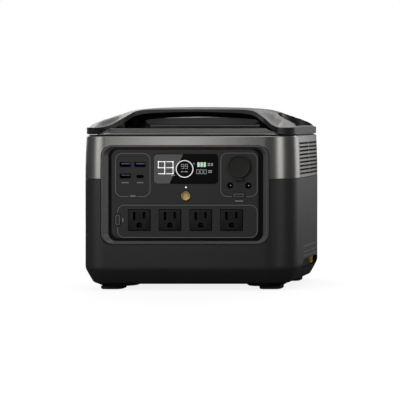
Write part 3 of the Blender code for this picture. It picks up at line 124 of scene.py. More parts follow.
def surface(name, colour, roughness, metallic, grain, relief, mottle=0.06, specular=0.5, emission=None):
    """A moulded or painted surface: fine grain in the relief, slow drift in the colour and the sheen."""
    made = bpy.data.materials.new(name)
    made.use_nodes = True
    nodes = made.node_tree.nodes
    shader = nodes["Principled BSDF"]
    base = linear(colour)[:3]
    darker = (*[channel * (1 - mottle) for channel in base], 1)
    lighter = (*[min(channel * (1 + mottle), 1) for channel in base], 1)
    place = add_node(nodes, "TexCoord")
    drift = add_node(nodes, "TexNoise", {"Scale": DRIFT_SCALE, "Detail": 5})
    fine = add_node(nodes, "TexNoise", {"Scale": grain, "Detail": 3})
    both = add_node(nodes, "Math", operation="ADD", use_clamp=True)
    halve = add_node(nodes, "Math", {1: 0.5}, operation="MULTIPLY")
    tone = add_node(nodes, "Mix", data_type="RGBA")
    tone.inputs["A"].default_value, tone.inputs["B"].default_value = darker, lighter
    sheen = add_node(nodes, "MapRange", {"To Min": roughness - SHEEN_DRIFT,
                                         "To Max": roughness + SHEEN_DRIFT})
    bump = add_node(nodes, "Bump", {"Strength": 1.0, "Distance": relief * MM})
    join(made.node_tree.links, (
        (place, "Object", drift, "Vector"), (place, "Object", fine, "Vector"),
        (drift, "Fac", both, 0), (fine, "Fac", both, 1), (both, 0, halve, 0),
        (halve, 0, tone, "Factor"), (tone, "Result", shader, "Base Color"),
        (drift, "Fac", sheen, "Value"), (sheen, "Result", shader, "Roughness"),
        (fine, "Fac", bump, "Height"), (bump, "Normal", shader, "Normal")))
    shader.inputs["Metallic"].default_value = metallic
    shader.inputs["Specular IOR Level"].default_value = specular
    if emission:
        shader.inputs["Emission Color"].default_value = linear(emission[0])
        shader.inputs["Emission Strength"].default_value = emission[1]
    return made


# Each look: colour from 0 to 255, roughness, metallic, grain, and relief in mm. Some go on with the strength
# of the mottling, the specular level, and the colour and strength of the light they give.
LOOKS = {
    "upper_paint": ((152, 150, 147), 0.31, 0.8, 3200, 0.004, 0.05),
    "charcoal": ((50, 50, 51), 0.48, 0, 1500, 0.04, 0.1),
    "top_dark": ((82, 81, 80), 0.4, 0.3, 2000, 0.015),
    "handle_paint": ((114, 112, 110), 0.4, 0.6, 2600, 0.012, 0.16),
    # A darker copy of the handle paint for its upright faces: painted shade.
    "handle_side_painted_shade": (52, 0.42, 0.2, 2000, 0.02),
    # Near-black for the handle's undersides and the walls of the hand gap: painted shade.
    "handle_hollow_painted_shade": (12, 0.7, 0, 2000, 0.02, 0.06, 0.1),
    "grip": ((114, 114, 113), 0.75, 0, 1200, 0.04),
    "bezel": (98, 0.44, 0.2, 2200, 0.008),
    "panel": ((52, 52, 51), 0.55, 0, 1700, 0.03, 0.1),
    "outlet": ((28, 28, 27), 0.5, 0, 1500, 0.02, 0.06, 0.3),
    "black": (10, 0.6, 0, 1500, 0.02, 0.06, 0.2),
    "rubber": (22, 0.8, 0, 1100, 0.08),
    "cover_rubber": ((36, 36, 33), 0.6, 0, 1400, 0.04),
    "gold": ((206, 176, 112), 0.36, 0.6, 2600, 0.02, 0.05),
    "steel": ((182, 182, 180), 0.3, 1, 800, 0.01),
    "pin_steel": ((225, 225, 222), 0.4, 0.4, 800, 0.01),
    "port_steel": ((20, 20, 22), 0.6, 0.3, 800, 0.01, 0.06, 0.2),
    # Far darker than brass: painted shade on the contacts deep in the outlet slots.
    "brass": ((44, 38, 26), 0.5, 0.8, 900, 0.01),
    "aluminium": ((170, 172, 174), 0.4, 1, 700, 0.02),
    "board": ((22, 70, 44), 0.45, 0, 300, 0.02, 0.25),
    "blue": ((84, 112, 180), 0.5, 0, 900, 0.01),
    "tongue_dark": ((84, 84, 88), 0.4, 0, 900, 0.01),
    "yellow": ((176, 134, 40), 0.5, 0, 900, 0.02),
    "wrap": ((52, 96, 140), 0.4, 0, 300, 0.03),
    "red_wire": ((150, 26, 24), 0.5, 0, 900, 0.02),
    "glass": (6, 0.45, 0, 400, 0, 0.02, 0.12),
    "glass_grey": ((116, 116, 115), 0.5, 0, 400, 0, 0.02, 0.3),
    "print_grey": ((132, 132, 130), 0.5, 0, 1500, 0),
    "print_light": ((150, 150, 148), 0.5, 0, 1500, 0),
    "segment": (235, 0.5, 0, 900, 0, 0.06, 0.5, (235, 0.7)),
    "segment_dim": (150, 0.5, 0, 900, 0, 0.06, 0.5, (150, 0.5)),
    "bar_green": ((190, 222, 196), 0.5, 0, 900, 0, 0.06, 0.5, ((190, 222, 196), 0.6)),
    "lamp": (250, 0.3, 0, 900, 0, 0.06, 0.5, (255, 0.8)),
}
MATERIALS = {name: surface(name, *look) for name, look in LOOKS.items()}


# ---- mesh helpers

def finish_mesh(bm, name, material=None):
    bmesh.ops.recalc_face_normals(bm, faces=bm.faces)
    mesh = bpy.data.meshes.new(name)
    bm.to_mesh(mesh)
    bm.free()
    made = bpy.data.objects.new(name, mesh)
    bpy.context.scene.collection.objects.link(made)
    if material:
        mesh.materials.append(MATERIALS[material])
    return made


def rounded_rect(half_w, half_h, radius, steps):
    points = []
    for quarter, (sx, sy) in enumerate(((1, 1), (-1, 1), (-1, -1), (1, -1))):
        for step in range(steps + 1):
            angle = math.radians(90 * (quarter + step / steps))
            points.append((sx * (half_w - radius) + radius * math.cos(angle),
                           sy * (half_h - radius) + radius * math.sin(angle)))
    return points


def padded(half, by):
    return half[0] + by, half[1] + by


def grown_rect(half, radius, by, steps):
    """A rounded rectangle moved outward by a distance on every side."""
    return rounded_rect(*padded(half, by), radius + by, steps)


def circle(radius, steps):
    return [(radius * math.cos(math.tau * i / steps), radius * math.sin(math.tau * i / steps))
            for i in range(steps)]


def rectangle(half_w, half_h):
    return [(half_w, half_h), (-half_w, half_h), (-half_w, -half_h), (half_w, -half_h)]


def facing_front(outline, centre, y):
    return [Vector((centre[0] + u, y, centre[1] + v)) for u, v in outline]


def facing_side(outline, centre, x):
    return [Vector((x, centre[0] + u, centre[1] + v)) for u, v in outline]


def facing_up(outline, centre, z):
    return [Vector((centre[0] + u, centre[1] + v, z)) for u, v in outline]


def add_loft(bm, rings, cyclic=False):
    rows = [[bm.verts.new(point) for point in ring] for ring in rings]
    pairs = list(zip(rows, rows[1:]))
    if cyclic:
        pairs.append((rows[-1], rows[0]))
    for lower, upper in pairs:
        for i in range(len(lower)):
            j = (i + 1) % len(lower)
            bm.faces.new((lower[i], lower[j], upper[j], upper[i]))
    if not cyclic:
        bm.faces.new(rows[0])
        bm.faces.new(rows[-1])


def loft(name, rings, material=None, cyclic=False):
    bm = bmesh.new()
    add_loft(bm, rings, cyclic)
    return finish_mesh(bm, name, material)


def add_prism(bm, facing, outline, centre, ends):
    """The outline carried straight from one level to another."""
    add_loft(bm, [facing(outline, centre, level) for level in ends])


def prisms(name, facing, shapes, ends, material=None):
    """One mesh of straight prisms, one for each (outline, centre)."""
    bm = bmesh.new()
    for outline, centre in shapes:
        add_prism(bm, facing, outline, centre, ends)
    return finish_mesh(bm, name, material)


def add_box(bm, low, high):
    middle = ((low[0] + high[0]) / 2, (low[1] + high[1]) / 2)
    outline = rectangle((high[0] - low[0]) / 2, (high[1] - low[1]) / 2)
    add_prism(bm, facing_up, outline, middle, (low[2], high[2]))


def paint_faces(made, material, chosen):
    """Gives one more material to the faces that chosen picks."""
    made.data.materials.append(MATERIALS[material])
    for face in made.data.polygons:
        if chosen(face):
            face.material_index = len(made.data.materials) - 1


def combine(target, tool, operation="DIFFERENCE"):
    """Cuts or joins at once with the exact solver, then discards the tool."""
    modifier = target.modifiers.new("shape", "BOOLEAN")
    modifier.operation = operation
    modifier.solver = "EXACT"
    modifier.object = tool
    bpy.context.view_layer.update()
    evaluated = target.evaluated_get(bpy.context.evaluated_depsgraph_get())
    mesh = bpy.data.meshes.new_from_object(evaluated)
    target.modifiers.remove(modifier)
    old = target.data
    target.data = mesh
    bpy.data.meshes.remove(old)
    bpy.data.objects.remove(tool)


def soften(made, width, angle=35, segments=2):
    """Rounds the sharp edges a little and smooths the shading between them."""
    made.data.shade_smooth()
    bevel = made.modifiers.new("soft_edges", "BEVEL")
    bevel.width = width
    bevel.segments = segments
    bevel.limit_method = "ANGLE"
    bevel.angle_limit = math.radians(angle)
    bevel.harden_normals = True


def ride_as(made, node=None, body=HOUSING):
    """Puts a piece on a body, in place of the frame's node if one is named."""
    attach(made, body)
    if node:
        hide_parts(node)


def curve_through(pairs):
    """A smooth function through (distance, value) pairs in millimetres that never overshoots them."""
    xs = [pair[0] * MM for pair in pairs]
    ys = [pair[1] * MM for pair in pairs]
    slopes = [(ys[i + 1] - ys[i]) / (xs[i + 1] - xs[i]) for i in range(len(xs) - 1)]
    tangents = [0.0] * len(xs)
    tangents[-1] = slopes[-1]
    for i in range(1, len(xs) - 1):
        if slopes[i - 1] * slopes[i] > 0:
            tangents[i] = 2 * slopes[i - 1] * slopes[i] / (slopes[i - 1] + slopes[i])

    def value(distance):
        x = min(max(abs(distance), xs[0]), xs[-1])
        i = max(k for k in range(len(xs) - 1) if xs[k] <= x)
        span = xs[i + 1] - xs[i]
        t = (x - xs[i]) / span
        return ((2 * t ** 3 - 3 * t ** 2 + 1) * ys[i] + (t ** 3 - 2 * t ** 2 + t) * span * tangents[i]
                + (3 * t ** 2 - 2 * t ** 3) * ys[i + 1] + (t ** 3 - t ** 2) * span * tangents[i + 1])

    return value


def smooth_step(low, high, value):
    t = min(max((value - low) / (high - low), 0.0), 1.0)
    return t * t * (3 - 2 * t)


# ---- housing

BASE_LEVELS = (8, 8.3, 8.8, 9.5, 10.5, 11.5, 13, 15, 18, 22, 24, 25.5, 26.5, 27.5, 28.5, 29.5, 30.5, 33, 60,
               100, 143.9)
INNER_LEVELS = (30.5, 22, 11)
UPPER_LEVELS = (146, 152, 160, 168, 176, 184, 190, 195, 199)
TOP_EDGE = ((200.1, 0.0), (200.3, 0.08), (201.2, 0.95), (201.4, 1.25))
SEAM_EDGE = ((0.0, 0.45), (0.12, 0.18), (0.4, 0.0))
LEDGE_TOP_Z, LEDGE_REACH, LEDGE_EDGE, LEDGE_ROOT = 199.3 * MM, 3 * MM, 2 * MM, 4 * MM
SKIN = 0.9 * MM
BOSS_TOP = (70 * MM, 127 * MM, 26 * MM, 77.5 * MM)
BOSS_BOTTOM = (73 * MM, 119 * MM, 29 * MM, 71 * MM)
BOSS_Z, BOSS_R = (4.4 * MM, UNDERSIDE_Z + 1.2 * MM), 20 * MM
BASE_SCREW_XY = (50 * MM, 58 * MM)
# Radius of a screw's hole, and height above the underside, in mm.
SCREW_HOLE_MM = ((3.6, -2), (3.6, 1.5), (2, 1.5), (2, 5))
BAY_Y, BAY_Z, BAY_R = (-30 * MM, 54 * MM), (24 * MM, 36 * MM), 3 * MM
FRONT_CUT_Y, REAR_CUT_Y = (-HALF_D - 4 * MM, -HALF_D + 9 * MM), (HALF_D - 8 * MM, HALF_D + 4 * MM)
BAY_CUT_X = (HALF_W - 9 * MM, HALF_W + 3 * MM)
CORNERS = ((-1, -1), (-1, 1), (1, -1), (1, 1))
REAR_PLATE_XZ, REAR_PLATE_HALF, REAR_PLATE_R = (-58 * MM, 152 * MM), (34 * MM, 19 * MM), 5 * MM

base_inset = curve_through(BASE_INSET_MM)


def body_inset(z):
    """How far the outer wall stands in from the full width at height z."""
    if z < BASE_INSET_MM[-1][0] * MM:
        return base_inset(z)
    if z > SPLIT_Z:
        return TAPER_INSET * ((z - SPLIT_Z) / (TAPER_TOP_Z - SPLIT_Z)) ** TAPER_POWER
    return 0.0


def body_ring(z, inward=0.0):
    """The housing's outline at height z, moved inward."""
    outline = grown_rect((HALF_W, HALF_D), CORNER_R, -body_inset(z) - inward, CORNER_STEPS)
    return facing_up(outline, (0, 0), z)


def front_opening_tool():
    outline = grown_rect(BEZEL_HALF, BEZEL_R, BEZEL_GROOVE, CORNER_STEPS)
    return prisms("front_opening_tool", facing_front, [(outline, (0, PANEL_Z))], FRONT_CUT_Y)


def rear_opening_tool():
    outline = grown_rect(REAR_PLATE_HALF, REAR_PLATE_R, FIT, 8)
    return prisms("rear_opening_tool", facing_front, [(outline, REAR_PLATE_XZ)], REAR_CUT_Y)


def vent_tool():
    """Rows of louvred slots through both sides, rising inward, each row broken by one narrow web."""
    bm = bmesh.new()
    span = (VENT_Y[1] - VENT_Y[0] + VENT_WEB) / 2
    slot_half = (span - VENT_WEB) / 2
    slot = rectangle(slot_half, VENT_HEIGHT / 2)
    for side in (-1, 1):
        for row in range(VENT_COUNT):
            top = VENT_TOP_Z - row * VENT_PITCH
            wall_x = HALF_W - body_inset(top)
            profile = ((wall_x + VENT_REACH, 0), (wall_x, 0), (wall_x - WALL, VENT_RISE),
                       (wall_x - WALL - VENT_REACH, VENT_RISE))
            for start in (VENT_Y[0], VENT_Y[0] + span):
                add_loft(bm, [facing_side(slot, (start + slot_half, top - VENT_HEIGHT / 2 + rise), side * x)
                              for x, rise in profile])
    return finish_mesh(bm, "vent_tool")


def base_pad_tool():
    """The shallow tapered pads under the base that carry the feet."""
    bm = bmesh.new()
    for sx, sy in CORNERS:
        rings = []
        for z, (x0, x1, y0, y1) in zip(BOSS_Z, (BOSS_BOTTOM, BOSS_TOP)):
            outline = rounded_rect((x1 - x0) / 2, (y1 - y0) / 2, BOSS_R, 10)
            rings.append(facing_up(outline, (sx * (x0 + x1) / 2, sy * (y0 + y1) / 2), z))
        add_loft(bm, rings)
    return finish_mesh(bm, "base_pad_tool")


def screw_hole_tool():
    bm = bmesh.new()
    for sx, sy in CORNERS:
        centre = (sx * BASE_SCREW_XY[0], sy * BASE_SCREW_XY[1])
        add_loft(bm, [facing_up(circle(radius * MM, 24), centre, UNDERSIDE_Z + up * MM)
                      for radius, up in SCREW_HOLE_MM])
    return finish_mesh(bm, "screw_hole_tool")


def port_bay_tool():
    outline = rounded_rect((BAY_Y[1] - BAY_Y[0]) / 2, (BAY_Z[1] - BAY_Z[0]) / 2, BAY_R, 8)
    centre = (sum(BAY_Y) / 2, sum(BAY_Z) / 2)
    return prisms("port_bay_tool", facing_side, [(outline, centre)], BAY_CUT_X)


def lies_inside(face):
    """Whether a face of a shell lies inside the outer skin."""
    x, y, z = face.center
    inset = body_inset(max(z, UNDERSIDE_Z)) + SKIN
    half_w, half_d, radius = HALF_W - inset, HALF_D - inset, CORNER_R - inset
    past = (max(abs(x) - (half_w - radius), 0.0), max(abs(y) - (half_d - radius), 0.0))
    return abs(x) < half_w and abs(y) < half_d and math.hypot(*past) < radius and z > UNDERSIDE_Z + SKIN


def make_lower_shell():
    seam = SPLIT_Z - FIT / 2
    rings = [body_ring(level * MM) for level in BASE_LEVELS]
    rings += [body_ring(seam - down * MM, inward * MM) for down, inward in reversed(SEAM_EDGE)]
    rings += [body_ring(seam, WALL)] + [body_ring(level * MM, WALL) for level in INNER_LEVELS]
    shell = loft("lower_shell_fine", rings, "charcoal")
    combine(shell, base_pad_tool(), "UNION")
    grooves = side_rule_boxes("rule_groove_tool", -MM, GROOVE_DEPTH, GROOVE_SLACK)
    for tool in (screw_hole_tool(), port_bay_tool(), front_opening_tool(), rear_opening_tool(), grooves):
        combine(shell, tool)
    # Faces inside the skin are painted near-black: painted shade inside the housing, seen through the seams
    # and openings.
    paint_faces(shell, "black", lies_inside)
    soften(shell, 0.35 * MM)
    ride_as(shell, "lower_shell")


def make_upper_shell():
    seam = SPLIT_Z + FIT / 2
    rings = [body_ring(seam + up * MM, inward * MM) for up, inward in SEAM_EDGE]
    rings += [body_ring(level * MM) for level in UPPER_LEVELS]
    rings += [body_ring(level * MM, inward * MM) for level, inward in TOP_EDGE]
    rings += [body_ring(UPPER_TOP_Z, WALL), body_ring(LEDGE_TOP_Z, WALL),
              body_ring(LEDGE_TOP_Z, WALL + LEDGE_REACH),
              body_ring(LEDGE_TOP_Z - LEDGE_EDGE, WALL + LEDGE_REACH),
              body_ring(LEDGE_TOP_Z - LEDGE_ROOT, WALL), body_ring(seam, WALL)]
    shell = loft("upper_shell_fine", rings, "upper_paint", cyclic=True)
    for tool in (vent_tool(), front_opening_tool(), rear_opening_tool()):
        combine(shell, tool)
    # Faces inside the skin are painted near-black: painted shade inside the housing, seen through the vents
    # and seams.
    paint_faces(shell, "black", lies_inside)
    soften(shell, 0.3 * MM)
    ride_as(shell, "upper_shell")


# ---- top cover, handle and grip

ridge_height = curve_through(RIDGE_MM)
edge_height = curve_through(EDGE_MM)
band_depth = curve_through(BAND_MM)
core_depth = curve_through(CORE_MM)
plan_inner = curve_through(PLAN_MM)
PILLAR_X, PILLAR_HALF, PILLAR_R = (82 * MM, 99.5 * MM), 30 * MM, 6 * MM
PILLAR_Z, PILLAR_SPREAD = (DECK_Z + FIT, 224 * MM), (0, 2 * MM)
END_CUT_Z = (HANDLE_SEAT_Z - 6 * MM, 240 * MM)
DIP_X, DIP_Y = (128 * MM, 134 * MM), (30 * MM, 50 * MM)
UPRIGHT = 0.35
GRIP_HALF_LENGTH, GRIP_HALF_WIDTH, GRIP_BOTTOM_Z = 77 * MM, 12.5 * MM, 215 * MM
GRIP_ROUND, GRIP_SHOULDER, GRIP_LIP = (3 * MM, 2 * MM), 2.5 * MM, 0.5 * MM
# Share of the half length, and how full the section is there.
GRIP_END = [(-1, 0.0), (-0.985, 0.25), (-0.97, 0.5), (-0.95, 0.8), (-0.93, 1.0)]
RIM_INSET, RIM_GAP = TAPER_INSET + 0.3 * MM, 0.4 * MM
RIM_SECTION = ((0, 0), (0, 0.8), (0.35, 1.0), (4.1, 1.6), (6.6, 2.4), (8.6, 3.8), (10.2, 5.5), (11.3, 6.7),
               (12.0, 7.3), (12.8, 7.5), (13.8, 7.5), (14.5, 7.2), (15.3, 6.2), (15.6, 5.4), (15.9, -2),
               (4.0, -2), (4.0, 0))
RIM_STATIONS = (0, 10, 20, 30, 40, 50, 60, 70, 80, 86, 92, 95, 98, 100.5, 103, 105.5, 108, 110, 112, 114,
                115.5, 116.8)
HANDLE_STATIONS = (0, 10, 20, 30, 40, 50, 58, 66, 72, 78, 82, 85, 88, 91, 94, 97, 100, 103, 105.5, 108, 110,
                   112, 114, 116, 117.3, 118.5, 119.6, 120.8, 123, 125, 127.5, 130, 132.5, 134.5, 136, 137.2)


def mirrored(values):
    """The distances on both sides of the middle, in metres."""
    right = [value * MM for value in values]
    return [-value for value in reversed(right[1:])] + right


def corner_half_depth(x, inward):
    """Half the housing's depth at distance x from its middle, moved inward."""
    past = abs(x) - (HALF_W - CORNER_R)
    if past <= 0:
        return HALF_D - inward
    radius = CORNER_R - inward
    return HALF_D - CORNER_R + math.sqrt(max(radius * radius - past * past, 0.0))


def plan_half_depth(x):
    """Half the handle's depth at distance x from its middle: straps inside, housing corners outside."""
    if abs(x) < PLAN_MM[-1][0] * MM:
        return plan_inner(x)
    return corner_half_depth(x, TAPER_INSET)


def end_opening_half(x):
    """Half the depth of the hole between two legs at distance x from the middle."""
    near, far = END_OPENING_X
    if not near < abs(x) <= far:
        return 0.0
    return END_OPENING_HALF * math.sqrt(1 - ((far - abs(x)) / (far - near)) ** 2)


def handle_top(x, y):
    """Height of the handle's upper surface: a crest that cants down to the strap's outer edge."""
    half = plan_half_depth(x)
    crest = max(end_opening_half(x), CREST_HALF)
    share = smooth_step(0, 1, (abs(y) - crest) / max(half - crest, MM)) if abs(y) > crest else 0.0
    height = ridge_height(x) + (edge_height(x) - ridge_height(x)) * share
    dip = smooth_step(*DIP_X, abs(x)) * (1 - smooth_step(*DIP_Y, abs(y)))
    return height - RIM_DIP * dip


def handle_bottom(x, y):
    """Height of the handle's lower surface, which never goes below its seat."""
    half = plan_half_depth(x)
    share = min(abs(y) / max(half, MM), 1.0)
    depth = core_depth(x) + (band_depth(x) - core_depth(x)) * smooth_step(0.25, 1, share)
    return max(handle_top(x, y) - depth, HANDLE_SEAT_Z)


def handle_section(x, steps):
    """One slice across the handle: over the top from front to back, then back underneath."""
    half = plan_half_depth(x)
    ys = [half * math.sin(math.radians(90 * (2 * i / steps - 1))) for i in range(steps + 1)]
    top = [Vector((x, y, handle_top(x, y))) for y in ys]
    bottom = [Vector((x, y, handle_bottom(x, y))) for y in reversed(ys)]
    return top + bottom


def end_opening_tool():
    """The two upright holes between the legs."""
    near, far = END_OPENING_X
    steps = 28
    angles = [math.radians(-90 + 180 * i / steps) for i in range(steps + 1)]
    arcs = [[(side * (far - (far - near) * math.cos(angle)), END_OPENING_HALF * math.sin(angle))
             for angle in angles] for side in (-1, 1)]
    return prisms("end_opening_tool", facing_up, [(arc, (0, 0)) for arc in arcs], END_CUT_Z)


def pillar_tool():
    """The two inner walls that carry the bridge down to the deck."""
    bm = bmesh.new()
    for side in (-1, 1):
        rings = []
        for z, spread in zip(PILLAR_Z, PILLAR_SPREAD):
            x0, x1 = PILLAR_X[0] - spread, PILLAR_X[1]
            outline = rounded_rect((x1 - x0) / 2, PILLAR_HALF, PILLAR_R, 10)
            rings.append(facing_up(outline, (side * (x0 + x1) / 2, 0), z))
        add_loft(bm, rings)
    return finish_mesh(bm, "pillar_tool")


def is_upright(face):
    return face.normal.z < UPRIGHT


def is_hollow(face):
    """Whether a face of the handle looks down or lies in the gap for the hand."""
    in_gap = abs(face.center.y) < PILLAR_HALF + MM and abs(face.center.x) < END_OPENING_X[0] + MM
    return face.normal.z < -UPRIGHT or (in_gap and is_upright(face))


def make_handle():
    rings = [handle_section(x, 28) for x in mirrored(HANDLE_STATIONS)]
    handle = loft("carry_handle_fine", rings, "handle_paint")
    combine(handle, end_opening_tool())
    combine(handle, pillar_tool(), "UNION")
    # Upright faces take a darker copy of the paint: painted shade on the handle's sides.
    paint_faces(handle, "handle_side_painted_shade", is_upright)
    # Faces that look down or line the hand gap are painted near-black: painted shade.
    paint_faces(handle, "handle_hollow_painted_shade", is_hollow)
    soften(handle, 0.6 * MM, angle=40, segments=3)
    ride_as(handle, "carry_handle")


def make_grip():
    """The soft pad under the bridge, held between the two inner walls."""
    stations = GRIP_END + [(value / 10, 1.0) for value in range(-9, 10)]
    stations += [(-share, fullness) for share, fullness in reversed(GRIP_END)]
    rings = []
    half = GRIP_HALF_WIDTH
    for share, fullness in stations:
        x = share * GRIP_HALF_LENGTH
        top = min(handle_bottom(x, 0), handle_bottom(x, half)) - FIT
        middle = top - GRIP_SHOULDER
        high = middle + (top - middle) * fullness
        low = middle - GRIP_LIP - (middle - GRIP_LIP - GRIP_BOTTOM_Z) * max(fullness, 0.1)
        points = [(-half, high), (-half, (high + low) / 2)]
        points += [(-half + GRIP_ROUND[0] * (1 - math.cos(math.radians(angle))),
                    low + GRIP_ROUND[1] * (1 - math.sin(math.radians(angle)))) for angle in range(0, 91, 15)]
        points += [(-y, z) for y, z in reversed(points)]
        rings.append([Vector((x, y, z)) for y, z in points])
    grip = loft("grip_pad_fine", rings, "grip")
    soften(grip, 0.3 * MM, angle=50)
    ride_as(grip, "grip_pad")


def rim_bar(name, side, peak_z):
    """The raised rim along the front or back, whose crest falls away under the handle's straps."""
    crest = max(point[1] for point in RIM_SECTION)
    rings = []
    for x in mirrored((*RIM_STATIONS, RIM_END_X)):
        limit = handle_bottom(x, plan_half_depth(x)) - RIM_GAP
        room = max(min(peak_z, limit) - RIM_FOOT_Z, RIM_GAP)
        outer = corner_half_depth(x, RIM_INSET)
        section = [(back * MM, up * room / crest if up > 0 else up * MM) for back, up in RIM_SECTION]
        rings.append([Vector((x, side * (outer - back), RIM_FOOT_Z + up)) for back, up in section])
    return loft(name, rings)


def is_under_rim(face):
    """Whether a face of the top cover lies outside the tub and below the rims."""
    outside = any(abs(face.center[i]) > TUB_HALF[i] + 0.5 * MM for i in (0, 1))
    return outside and face.center.z < RIM_FOOT_Z - 0.1 * MM


def make_top_cover():
    tub_outer = grown_rect(TUB_HALF, TUB_R, TUB_WALL, CORNER_STEPS)
    tub_inner = rounded_rect(*TUB_HALF, TUB_R, CORNER_STEPS)
    flange = grown_rect((HALF_W, HALF_D), CORNER_R, -FLANGE_INSET, CORNER_STEPS)
    levels = ((tub_outer, DECK_Z - TUB_FLOOR), (tub_outer, FLANGE_Z[0]), (flange, FLANGE_Z[0]),
              (flange, FLANGE_Z[1]), (tub_inner, FLANGE_Z[1]), (tub_inner, DECK_Z))
    cover = loft("top_cover_fine", [facing_up(outline, (0, 0), z) for outline, z in levels], "top_dark")
    combine(cover, rim_bar("front_rim_tool", -1, FRONT_RIM_Z), "UNION")
    combine(cover, rim_bar("rear_rim_tool", 1, REAR_RIM_Z), "UNION")
    # Faces outside the tub and below the rims are painted black: painted shade under the rims.
    paint_faces(cover, "black", is_under_rim)
    soften(cover, 0.4 * MM, angle=50)
    ride_as(cover, "top_cover")


# ---- front panel

HINGE_BORE_R, KNUCKLE_R, KNUCKLE_HALF, LUG_OUTER = 0.8 * MM, 1.3 * MM, 2.9 * MM, 5.2 * MM
BEZEL_FACE = -HALF_D
# Share of the way from the outer edge to the opening, and depth in mm below the face.
BEZEL_PROFILE = ((0, 5.2), (0, 0.9), (0.02, 0.6), (0.06, 0.45), (0.28, 0.12), (0.34, 0.14), (0.39, 0.45),
                 (0.97, 4.15), (1, 4.4), (1, 4.7), (1, 7.6), (1.15, 7.6), (1.15, 8.3), (0.9, 8.3))
BEZEL_FLANGE, BEZEL_FLANGE_R, BEZEL_FLANGE_DEPTH = (1.8 * MM, 3.6 * MM), 16.2 * MM, (7 * MM, 5.2 * MM)
PANEL_STEP, PANEL_FIT = 1.2 * MM, 0.3 * MM
RAISED_XZ, RAISED_HALF, RAISED_R = (-1.05 * MM, 125.95 * MM), (95.55 * MM, 57.75 * MM), 10 * MM
OUTLET_GROOVE = 0.55 * MM
PANEL_BACK_Y = PANEL_FACE_Y + 2.5 * MM
OUTLET_FACE_Y = PANEL_FACE_Y - 0.9 * MM
SLOT_X, SLOT_HALF_W, SLOT_TOP = 6.35 * MM, 1.5 * MM, 10.4 * MM
SLOT_LENGTHS = ((-1, 10.3 * MM), (1, 8.3 * MM))
AC_OPENING_R, DC_OPENING_R, USB_C_OPENING_R = 3.4 * MM, 2.9 * MM, 1.95 * MM
USB_A_R, OUTLET_R, SLOT_R, SLOT_DEPTH, CUT_PAST = 0.4 * MM, 0.6 * MM, 0.4 * MM, 4 * MM, 2 * MM
POWER_GAP, LIGHT_R = 0.8 * MM, 1.3 * MM
LUG_INNER, LUG_BACK_Y, LUG_Z = 3.4 * MM, PANEL_FACE_Y + MM, (HINGE_Z - 1.7 * MM, HINGE_Z + 1.3 * MM)
# Each ring of an outlet: inset from its edge, corner radius and depth, in mm.
OUTLET_PROFILE = ((1.6, 0.5, 3.0), (1.6, 0.5, 22.0), (0, 0.6, 22.0), (0, 0.6, 0.6), (0.18, 0.6, 0.18),
                  (0.6, 0.6, 0.0))
GROUND_R, GROUND_Z, GROUND_FLOOR = 3.5 * MM, -6.6 * MM, -3 * MM


def make_bezel():
    """The frame round the panel: a lip that leans outward, a slope down, and a stop behind the panel."""
    outer = (*BEZEL_HALF, BEZEL_R)
    inner = (*OPENING_HALF, OPENING_R)
    rings = []
    for share, depth in BEZEL_PROFILE:
        half_w, half_h, radius = [start + (end - start) * share for start, end in zip(outer, inner)]
        rings.append(facing_front(rounded_rect(half_w, half_h, radius, CORNER_STEPS), (0, PANEL_Z),
                                  BEZEL_FACE + depth * MM))
    flange = rounded_rect(outer[0] + BEZEL_FLANGE[0], outer[1] + BEZEL_FLANGE[1], BEZEL_FLANGE_R,
                          CORNER_STEPS)
    rings += [facing_front(flange, (0, PANEL_Z), BEZEL_FACE + depth) for depth in BEZEL_FLANGE_DEPTH]
    bezel = loft("front_bezel_fine", rings, "bezel", cyclic=True)
    soften(bezel, 0.15 * MM, angle=40)
    ride_as(bezel, "front_bezel")


def panel_openings():
    """Every opening in the front panel, as (outline, centre)."""
    openings = [(rounded_rect(*DISPLAY_HALF, DISPLAY_R, 12), (0, DISPLAY_Z)),
                (circle(POWER_R + POWER_GAP, 64), POWER_XZ),
                (circle(LIGHT_R, 24), LIGHT_XZ),
                (circle(CAR_R + FIT, 64), CAR_XZ)]
    for half, radius, spot in ((AC_BUTTON_HALF, AC_OPENING_R, AC_BUTTON_XZ),
                               (DC_BUTTON_HALF, DC_OPENING_R, DC_BUTTON_XZ),
                               (USB_C_HALF, USB_C_OPENING_R, USB_C_XZ)):
        openings.append((rounded_rect(*padded(half, FIT), radius, 10), spot))
    usb_a = rounded_rect(*padded(USB_A_HALF, FIT), USB_A_R, 3)
    outlet = rounded_rect(*padded(OUTLET_HALF, OUTLET_GROOVE), OUTLET_R, 3)
    openings += [(usb_a, spot) for spot in USB_A_XZ]
    openings += [(circle(DC_JACK_R + FIT, 40), spot) for spot in DC_JACK_XZ]
    openings += [(outlet, (x, OUTLET_Z)) for x in OUTLET_X]
    return openings


def hinge_lug_tool():
    """The two ears that hold the socket cover's pin."""
    bm = bmesh.new()
    for side in (-1, 1):
        inner, outer = sorted((side * LUG_INNER, side * LUG_OUTER))
        add_box(bm, (CAR_XZ[0] + inner, HINGE_Y - KNUCKLE_R, LUG_Z[0]),
                (CAR_XZ[0] + outer, LUG_BACK_Y, LUG_Z[1]))
    return finish_mesh(bm, "hinge_lug_tool")


def hinge_bar(radius, half_length):
    """A round bar along the socket cover's hinge line."""
    ends = (CAR_XZ[0] - half_length, CAR_XZ[0] + half_length)
    return prisms("hinge_bar_tool", facing_side, [(circle(radius, 24), (HINGE_Y, HINGE_Z))], ends)


